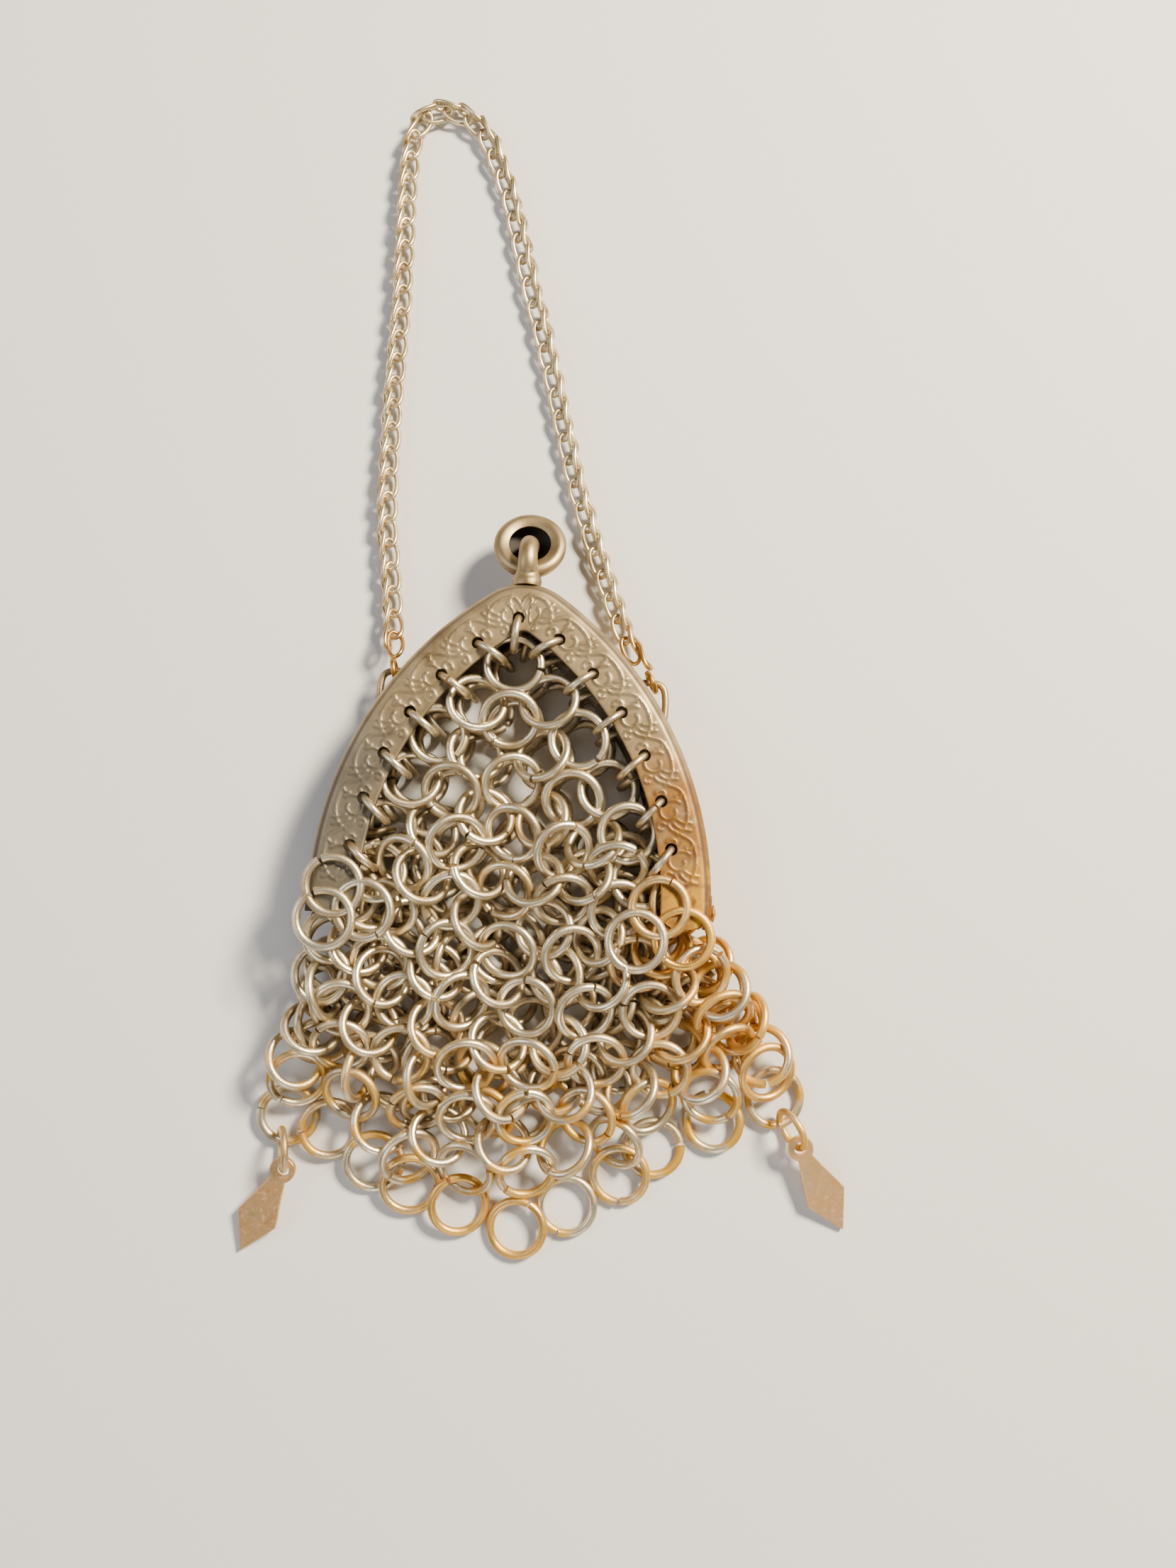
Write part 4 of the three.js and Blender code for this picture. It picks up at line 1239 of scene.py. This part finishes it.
    def ring_wire(self, made: MeshMaker, rings: Rings, index: int, rng: np.random.Generator,
                  wear_and_shade: float) -> None:
        """Bends one cut ring of wire.

        Args:
            made: The mesh that it is added to.
            rings: All the rings.
            index: The ring.
            rng: The source of the small irregularities.
            wear_and_shade: How far it has yellowed, from 0 to 1.
        """
        gap = rng.uniform(0.05, 0.16)
        start = rng.uniform(0, 2 * math.pi)
        offset = rng.normal(0, 0.035)
        oval = rng.uniform(0, 0.025)
        angle = np.linspace(start + gap / 2, start + 2 * math.pi - gap / 2, 34)
        share = np.linspace(-1, 1, len(angle))
        radius = rings.radius[index] * (1 + oval * np.cos(2 * (angle - start)))
        across, along = rings.across[index], rings.along[index]
        route = (rings.centre[index]
                 + radius[:, None] * (np.cos(angle)[:, None] * across + np.sin(angle)[:, None] * along)
                 + (offset * share ** 3)[:, None] * np.cross(across, along))
        size = rings.wire[index] / 2
        made.sweep(route, size * (1 + rng.normal(0, 0.02)), 10, wear_and_shade=wear_and_shade, up=np.cross(across, along))

    def wear_of(self, rings: Rings, index: int, rng: np.random.Generator) -> float:
        """Says how far a ring has yellowed, by where it is.

        Args:
            rings: All the rings.
            index: The ring.
            rng: The source of its own chance.

        Returns:
            A value from 0 to 1.
        """
        x, y, _ = rings.centre[index]
        low = np.clip((-48.0 - y) / 6.0, 0, 1)
        patches = [share * math.exp(-((x - at_x) ** 2 + (y - at_y) ** 2) / spread)
                   for at_x, at_y, spread, share in self.yellowed]
        chance = rng.uniform(0, 1)
        drawn = max(0.6 * low, *patches, 0.1)
        return float(np.clip((drawn - chance * 0.9) * 3.0, 0.0, 1.0)) * rng.uniform(0.6, 1.0)

    def build(self, material: bpy.types.Material) -> list[bpy.types.Object]:
        """Lays out, settles and builds both sheets and the jump rings.

        Args:
            material: The wire's finish.

        Returns:
            The finished pieces.
        """
        rng = np.random.default_rng(SEED)
        groups, jumps = [], []
        for half in Half:
            groups.append(self.sheet(half, rng))
            jumps.append(self.jump_rings(half))
        rings = Rings.joined([*groups, *jumps])
        self.settle(rings)
        pieces, start = [], 0
        names = ("ring_mesh_front", "ring_mesh_back", "jump_rings_front", "jump_rings_back")
        jump_names = [[f"jump_ring_{part}_{n:02d}" for n in range(1, 2 * ARCH.jump_each_side + 2)]
                      for part in ("front", "back")]
        nodes = (["mesh_front"], ["mesh_back"], *jump_names)
        for group, name, stands_for in zip([*groups, *jumps], names, nodes):
            made = MeshMaker()
            for index in range(start, start + len(group.centre)):
                self.ring_wire(made, rings, index, rng, self.wear_of(rings, index, rng))
            start += len(group.centre)
            piece = made.build(name, 60)
            dress(piece, material, "rings", *stands_for)
            pieces.append(piece)
        return pieces


# The clasp

@dataclass
class Clasp:
    """A hollow turned button with a rolled rim, on a bent post with a flared collar."""

    width: float = 6.7
    mouth: float = 3.9
    depth: float = 2.3
    wall: float = 0.4
    tilt_degrees: float = 18.0
    ahead: float = 4.15
    height: float = 3.3
    post_width: float = 1.9
    post_rise: float = 0.35
    post_seat: float = 0.3
    collar_width: float = 2.7
    collar_length: float = 0.9
    roll: float = 0.62
    sides: int = 56
    # Points of the profile that lie outside, known once it is drawn
    outside_count: int = 0

    def profile(self) -> Array:
        """Draws the button's profile, outside and inside.

        Returns:
            Radius and height along the profile.
        """
        outer, mouth = self.width / 2, self.mouth / 2
        depth, wall, roll = self.depth, self.wall, self.roll
        outside = np.array([(0, -depth, 0), (outer * 0.3, -depth * 0.96, 0), (outer * 0.6, -depth * 0.8, 0),
                            (outer * 0.85, -depth * 0.5, 0), (outer * 0.98, -depth * 0.14, 0),
                            (outer, roll * 0.25, 0), (outer * 0.95, roll * 0.7, 0), (outer * 0.83, roll, 0),
                            (mouth + 0.35, roll * 0.86, 0), (mouth, roll * 0.6, 0)])
        inside = np.array([(mouth + 0.05, roll * 0.6 - wall * 0.6, 0), (outer * 0.78, roll - wall * 1.5, 0),
                           (outer - wall, -0.05, 0), (outer * 0.78, -depth * 0.38, 0),
                           (outer * 0.42, -depth * 0.66, 0), (0, -depth + wall, 0)])
        outside_route = smooth_route(outside, 0.14)
        self.outside_count = len(outside_route)
        return np.concatenate([outside_route, smooth_route(inside, 0.2)])[:, :2]

    def build(self, material: bpy.types.Material) -> bpy.types.Object:
        """Builds and dresses the clasp.

        Args:
            material: The finish.

        Returns:
            The finished clasp.
        """
        made = MeshMaker()
        profile = self.profile()
        turn = np.radians(np.arange(self.sides) * 360 / self.sides)
        profile = np.concatenate([[[0.004, profile[0, 1]]], profile[1:-1], [[0.004, profile[-1, 1]]]])
        rings = np.stack([profile[:, None, 0] * np.cos(turn), profile[:, None, 0] * np.sin(turn),
                          np.broadcast_to(profile[:, None, 1], (len(profile), self.sides))], -1)
        centre_y = ARCH.apex_y + self.ahead
        lean = Matrix.Rotation(-math.radians(self.tilt_degrees), 3, "X")
        rings = rings @ np.array(lean).T + [0.0, centre_y, self.height]
        # Painted shade: the button's inner wall takes the sheet's dark colour in full
        inner = np.arange(len(profile)) > self.outside_count
        made.grid(rings, closed=False, wear_and_shade=np.broadcast_to(inner[:, None], rings.shape[:2]))
        seat, seat_z = ARCH.apex_y + self.post_seat, ARCH.depth - ARCH.edge_round
        top = ARCH.depth + self.post_rise - self.post_width / 2
        route = smooth_route(np.array([
            (0, seat + self.collar_length * 0.6, seat_z),
            (0, seat + self.collar_length, seat_z + (top - seat_z) * 0.45),
            (0, seat + self.collar_length * 2, top), (0, centre_y - 0.85, top - 0.3),
            (0, centre_y - 0.1, top - 1.5),
            (0, centre_y + 0.25, self.height - self.depth + self.wall * 0.5)]), 0.2)
        share = np.linspace(0, 1, len(route))
        size = self.post_width / 2 * np.interp(share, [0, 0.3, 0.75, 1], [1.0, 0.92, 0.9, 0.8])
        made.sweep(route, size, 24)
        flare = np.array([
            (0, ARCH.apex_y - 0.15, seat_z), (0, seat + 0.12, seat_z), (0, seat + 0.45, seat_z + 0.05),
            (0, seat + self.collar_length, seat_z + 0.2),
            (0, seat + self.collar_length * 1.4, seat_z + 0.4)])
        made.sweep(flare, np.array([0.94, 1.0, 0.93, 0.78, 0.66]) * self.collar_width / 2, 24)
        piece = made.build("clasp_button", 45)
        dress(piece, material, "frame", "clasp_knob")
        return piece


# The handle

@dataclass
class Handle:
    """The chain between the two bails as it lies: a curb strand on edge beside one face on."""

    width: float = 2.0
    link_length: float = 3.4
    link_width: float = 1.8
    link_wire: float = 0.41
    pitch: float = 2.3
    twist_degrees: float = 28.0
    roll_degrees: float = 14.0
    # Distance between the strands' middles, with the strand on edge to the left
    strand_apart: float = 0.72
    route_spacing: float = 0.1
    # A link takes its direction from the route this far on both sides of it
    sight: float = 0.6
    roll_spread: float = 0.08
    place_spread: float = 0.02
    end_radius: float = 0.95
    end_wire: float = 0.5
    slack: float = 0.2
    gap: float = 0.3
    # Route from the left bail to the right one, x and y, with the rise off the surface
    route: tuple[tuple[float, float, float], ...] = (
        (-12.95, -1.2, 0.35), (-13.5, 3.2, 0), (-14.09, 7.5, 0), (-14.39, 11.9, 0), (-14.49, 18.4, 0),
        (-14.41, 24.4, 0), (-14.3, 30.4, 0), (-14.38, 36.4, 0), (-14.46, 42.6, 0), (-14.3, 47.2, 0),
        (-13.3, 50.0, 0), (-11.3, 51.15, 0), (-8.95, 50.7, 0), (-6.95, 49.2, 0), (-5.6, 46.7, 0),
        (-4.1, 43.1, 0), (-2.7, 38.3, 0), (-1.2, 32.8, 0), (0.02, 28.7, 0), (1.2, 24.5, 0), (2.4, 19.9, 0),
        (3.9, 14.1, 0), (5.28, 9.9, 0), (6.8, 5.6, 0), (8.4, 1.4, 0.2), (9.75, -1.9, 0.7))

    def link(self) -> Array:
        """Bends one curb link, twisted along its length.

        Returns:
            Points round the link, along X.
        """
        angle = np.arange(26) * 2 * math.pi / 26
        long, wide = (self.link_length - self.link_wire) / 2, (self.link_width - self.link_wire) / 2
        x = long * np.sign(np.cos(angle)) * np.abs(np.cos(angle)) ** 0.85
        y = wide * np.sign(np.sin(angle)) * np.abs(np.sin(angle)) ** 0.85
        twist = math.radians(self.twist_degrees) * x / long
        return np.stack([x, y * np.cos(twist), y * np.sin(twist)], 1)

    def ends(self) -> tuple[Array, list[tuple[Array, Array]]]:
        """Works out the whole route and the two end links.

        Returns:
            The route's points, and the centre and direction of each end link.
        """
        lift = ARCH.floor + self.width / 2
        points = np.array(self.route) + [0, 0, lift]
        half = FrameHalf(Half.BACK)
        first_last, links = [], []
        for side, before in ((-1, points[0]), (1, points[-1])):
            bail = bail_points(side, half.bail_route, half.bail_height)
            hook = (bail[1] + bail[2]) / 2
            direction = unit((hook - before) * [1, 1, 0])
            centre = hook - direction * self.slack
            first_last.append(centre - direction * (self.end_radius + self.end_wire / 2 + self.gap))
            links.append((centre, direction))
        return np.array([first_last[0], *points, first_last[1]]), links

    def build(self, material: bpy.types.Material) -> list[bpy.types.Object]:
        """Builds and dresses the chain and its end links.

        Args:
            material: The finish.

        Returns:
            The finished pieces.
        """
        rng = np.random.default_rng(SEED + 1)
        points, links = self.ends()
        route = smooth_route(points, self.route_spacing)
        lengths = np.arange(len(route)) * self.route_spacing
        whole = lengths[-1]
        count = round((whole - self.link_length) / self.pitch * 2) + 1
        places = np.linspace(self.link_length / 2 - 0.5, whole - self.link_length / 2 + 0.5, count)
        made = MeshMaker()
        shape = self.link()
        for number, place in enumerate(places):
            before, centre, after = (np.array([np.interp(at, lengths, route[:, axis]) for axis in range(3)])
                                     for at in (place - self.sight, place, place + self.sight))
            ahead = unit(after - before)
            leftward = unit(np.cross([0.0, 0.0, 1.0], ahead))
            upward = np.cross(ahead, leftward)
            roll = math.radians(self.roll_degrees + 90 * (number % 2)) + rng.normal(0, self.roll_spread)
            side = leftward * math.cos(roll) + upward * math.sin(roll)
            up = upward * math.cos(roll) - leftward * math.sin(roll)
            centre = centre + leftward * self.strand_apart * (0.5 if number % 2 else -0.5)
            spots = centre + shape @ np.array([ahead, side, up]) + rng.normal(0, self.place_spread, 3)
            spots[:, 2] += max(ARCH.floor + self.link_wire / 2 - spots[:, 2].min(), 0.0)
            end = min(number, count - 1 - number)
            made.sweep(spots, self.link_wire / 2, 8, closed=True, wear_and_shade=max(0.0, 0.8 - 0.2 * end))
        chain = made.build("handle_links", 60)
        dress(chain, material, "chain", "handle_chain")
        pieces = [chain]
        for name, (centre, direction) in zip(("left", "right"), links):
            made = MeshMaker()
            angle = np.arange(28) * 2 * math.pi / 28
            route = (centre + self.end_radius * (np.cos(angle)[:, None] * direction
                                                 + np.sin(angle)[:, None] * np.array([0.0, 0.0, 1.0])))
            made.sweep(route, self.end_wire / 2, 10, closed=True, wear_and_shade=0.9)
            piece = made.build(f"bail_link_{name}", 60)
            dress(piece, material, "chain", f"end_link_{name}")
            pieces.append(piece)
        return pieces


# The drops

@dataclass
class Drop:
    """A kite of sheet metal with a pierced tab, on its jump ring at a corner of the bag."""

    name: str
    ring_x: float
    ring_y: float
    heading_degrees: float
    swing_degrees: float
    length: float = 8.6
    width: float = 3.75
    sheet: float = 0.45
    tab: float = 2.3
    hole: float = 1.2
    neck: float = 1.3
    ring_radius: float = 1.75
    ring_lean_degrees: float = 20.0
    grip: float = 0.45
    softened: float = 0.07
    sharp_degrees: float = 45.0

    @property
    def ahead(self) -> Array:
        """Direction in which the drop hangs from its corner ring."""
        heading = math.radians(self.heading_degrees)
        return np.array([math.cos(heading), math.sin(heading), 0.0])

    @property
    def lift(self) -> float:
        """Height of the jump ring's centre above the surface."""
        return self.ring_radius * math.cos(math.radians(self.ring_lean_degrees)) + ARCH.jump_wire / 2

    def outline(self) -> Array:
        """Draws the kite and its tab round the hole's centre.

        Returns:
            Points of the outline.
        """
        tab = self.tab / 2
        opening = math.asin(self.neck / 2 / tab)
        angle = np.linspace(-math.pi / 2 + opening, 1.5 * math.pi - opening, 25)
        points = [(tab * math.cos(a), tab * math.sin(a)) for a in angle]
        shoulder = -self.length * 0.6
        corners = [(-self.width / 2, shoulder), (0.0, -self.length), (self.width / 2, shoulder)]
        starts = [np.array(points[-1]), *map(np.array, corners), np.array(points[0])]
        for a, b in zip(starts, starts[1:]):
            points += [tuple(a + (b - a) * t) for t in np.linspace(0, 1, 7)[1:]]
        return np.array(points[:-1])

    def hanging(self, distance: float) -> Array:
        """Finds a place along the way that the drop hangs.

        Args:
            distance: Distance from the corner ring's centre.

        Returns:
            The place, at height 0.
        """
        return np.array([self.ring_x, self.ring_y, 0.0]) + self.ahead * distance

    def jump_ring(self, material: bpy.types.Material) -> bpy.types.Object:
        """Bends the jump ring through the corner ring and dresses it.

        Args:
            material: The wire's finish.

        Returns:
            The finished ring.
        """
        centre = self.hanging(ARCH.ring_radius + self.grip) + [0, 0, ARCH.floor + self.lift]
        lean = math.radians(self.ring_lean_degrees)
        ahead = self.ahead
        upright = np.array([-ahead[1] * math.sin(lean), ahead[0] * math.sin(lean), math.cos(lean)])
        angle = np.linspace(0.35, 2 * math.pi + 0.25, 30)
        round_ring = np.cos(angle)[:, None] * ahead + np.sin(angle)[:, None] * upright
        made = MeshMaker()
        made.sweep(centre + self.ring_radius * round_ring, ARCH.jump_wire / 2, 10, wear_and_shade=0.35,
                   up=np.cross(ahead, upright))
        ring = made.build(f"drop_jump_ring_{self.name}", 60)
        dress(ring, material, "rings", f"drop_ring_{self.name}")
        return ring

    def plate(self, material: bpy.types.Material) -> bpy.types.Object:
        """Cuts the kite with its pierced tab, hangs it on the jump ring and dresses it.

        Args:
            material: The sheet's finish.

        Returns:
            The finished kite.
        """
        outline = self.outline()
        middle = outline.mean(0)
        edge, bevel = self.softened, self.softened / self.sheet
        layers = []
        for inset, level in ((edge, -0.5), (0.0, bevel - 0.5), (0.0, 0.5 - bevel), (edge, 0.5)):
            points = outline + unit(middle - outline) * inset
            layers.append(np.column_stack([points, np.full(len(outline), level * self.sheet)]))
        kite = MeshMaker()
        kite.grid(np.array(layers), closed=False)
        piece = kite.build(f"kite_drop_{self.name}", self.sharp_degrees)
        cutter = MeshMaker()
        cutter.sweep(np.array([[0, 0, -1.0], [0, 0, 1.0]]), self.hole / 2, 24)
        cut_holes(piece, cutter)
        # The tip rests on the surface, so the kite dips from its hole towards it
        dip = math.asin((self.lift - self.sheet * 0.6) / self.length)
        tab_at = self.hanging(ARCH.ring_radius + self.grip + self.ring_radius) * MM
        place = (Matrix.Translation((tab_at[0], tab_at[1], (ARCH.floor + self.lift) * MM))
                 @ Matrix.Rotation(math.radians(self.swing_degrees), 4, "Z") @ Matrix.Rotation(dip, 4, "X"))
        piece.data.transform(place)
        piece.data.shade_smooth()
        piece.data.set_sharp_from_angle(angle=math.radians(self.sharp_degrees))
        dress(piece, material, "drops", f"drop_plate_{self.name}")
        return piece

    def build(self, plate_finish: bpy.types.Material,
              ring_finish: bpy.types.Material) -> list[bpy.types.Object]:
        """Builds and dresses the drop and its jump ring.

        Args:
            plate_finish: The kite's finish.
            ring_finish: The jump ring's finish.

        Returns:
            The finished pieces.
        """
        return [self.jump_ring(ring_finish), self.plate(plate_finish)]


# The studio

@dataclass
class Studio:
    """A plain pale floor, soft lights and the camera of the photograph."""

    photo: tuple[int, int] = (1659, 2212)
    focal_pixels: float = 1660.0
    distance: float = 110.7
    tilt_degrees: float = 6.2
    roll_degrees: float = 2.8
    aim: tuple[float, float] = (6.41, -15.38)
    sensor_width: float = 36.0
    # Half the floor's width, in metres
    floor_reach: float = 1.5

    def floor(self) -> None:
        """Lays the floor under the purse."""
        mesh = bpy.data.meshes.new("floor")
        reach, low = self.floor_reach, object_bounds()[0].z
        corners = [(-reach, -reach, low), (reach, -reach, low), (reach, reach, low), (-reach, reach, low)]
        mesh.from_pydata(corners, [], [(0, 1, 2, 3)])
        made = bpy.data.objects.new("floor", mesh)
        bpy.context.scene.collection.objects.link(made)
        paper = bpy.data.materials.new("matt_pale_paper")
        paper.use_nodes = True
        shader = paper.node_tree.nodes["Principled BSDF"]
        shader.inputs["Base Color"].default_value = linear("#D3D0CA")
        shader.inputs["Roughness"].default_value = 0.9
        mesh.materials.append(paper)
        made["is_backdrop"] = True

    def light(self, name: str, place: tuple[float, float, float], size: float, power: float,
              colour: str) -> None:
        """Hangs one soft light, aimed at the purse.

        Args:
            name: The light's name.
            place: Where it hangs, in metres.
            size: Width of its panel, in metres.
            power: Its power in watts.
            colour: Its colour.
        """
        data = bpy.data.lights.new(name, "AREA")
        data.shape, data.size, data.energy, data.color = "SQUARE", size, power, linear(colour)[:3]
        lamp = bpy.data.objects.new(name, data)
        lamp.location = place
        lamp.rotation_euler = (-Vector(place)).to_track_quat("-Z", "Y").to_euler()
        bpy.context.scene.collection.objects.link(lamp)

    def camera(self) -> None:
        """Sets the camera where the photograph was taken from."""
        tilt, roll = math.radians(self.tilt_degrees), math.radians(self.roll_degrees)
        turn = Matrix.Rotation(roll, 3, "Z")
        target = Vector((*self.aim, ARCH.floor))
        offset = turn @ Vector((0, -self.distance * math.sin(tilt), self.distance * math.cos(tilt)))
        data = bpy.data.cameras.new("photo_view")
        data.sensor_fit, data.sensor_width = "HORIZONTAL", self.sensor_width
        data.lens = self.sensor_width * self.focal_pixels / self.photo[0]
        data.clip_start = 0.005
        made = bpy.data.objects.new("photo_view", data)
        up = turn @ Vector((0, math.cos(tilt), math.sin(tilt)))
        back = offset.normalized()
        made.matrix_world = Matrix.Translation((target + offset) * MM) @ Matrix(
            (up.cross(back), up, back)).transposed().to_4x4()
        bpy.context.scene.collection.objects.link(made)
        bpy.context.scene.camera = made

    def build(self) -> None:
        """Sets up the floor, the lights and the camera."""
        self.floor()
        self.light("key", (0.26, 0.2, 0.3), 0.1, 8.0, "#FFF2DC")
        self.light("fill", (-0.34, 0.02, 0.3), 0.3, 1.1, "#F2F4FF")
        self.light("low_front", (0.05, -0.4, 0.24), 0.25, 0.8, "#FFFFFF")
        world = bpy.data.worlds.new("soft_room")
        world.use_nodes = True
        sky = world.node_tree.nodes["Background"]
        sky.inputs["Color"].default_value = linear("#D9DCE0")
        sky.inputs["Strength"].default_value = 0.2
        bpy.context.scene.world = world
        self.camera()


def main() -> None:
    """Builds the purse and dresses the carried-over nodes."""
    logging.basicConfig(level=logging.INFO, format="%(name)s %(message)s")
    sheet, wire = FRAME_SHEET.material(), RING_WIRE.material()
    chain, drop_metal = CHAIN_WIRE.material(), DROP_SHEET.material()
    Studio().build()
    for half in Half:
        FrameHalf(half).build(sheet)
    RingMesh().build(wire)
    Clasp().build(sheet)
    Handle().build(chain)
    for drop in (Drop("left", -19.55, -46.84, -84, -26), Drop("right", 24.85, -43.22, -63, 31)):
        drop.build(drop_metal, wire)
    for name in ("hinge_pin_left", "hinge_pin_right"):
        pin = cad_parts[name]
        pin.data.materials.clear()
        pin.data.materials.append(sheet)
        LOG.info("%s keeps its packed mesh", name)


if __name__ == "__main__":
    main()
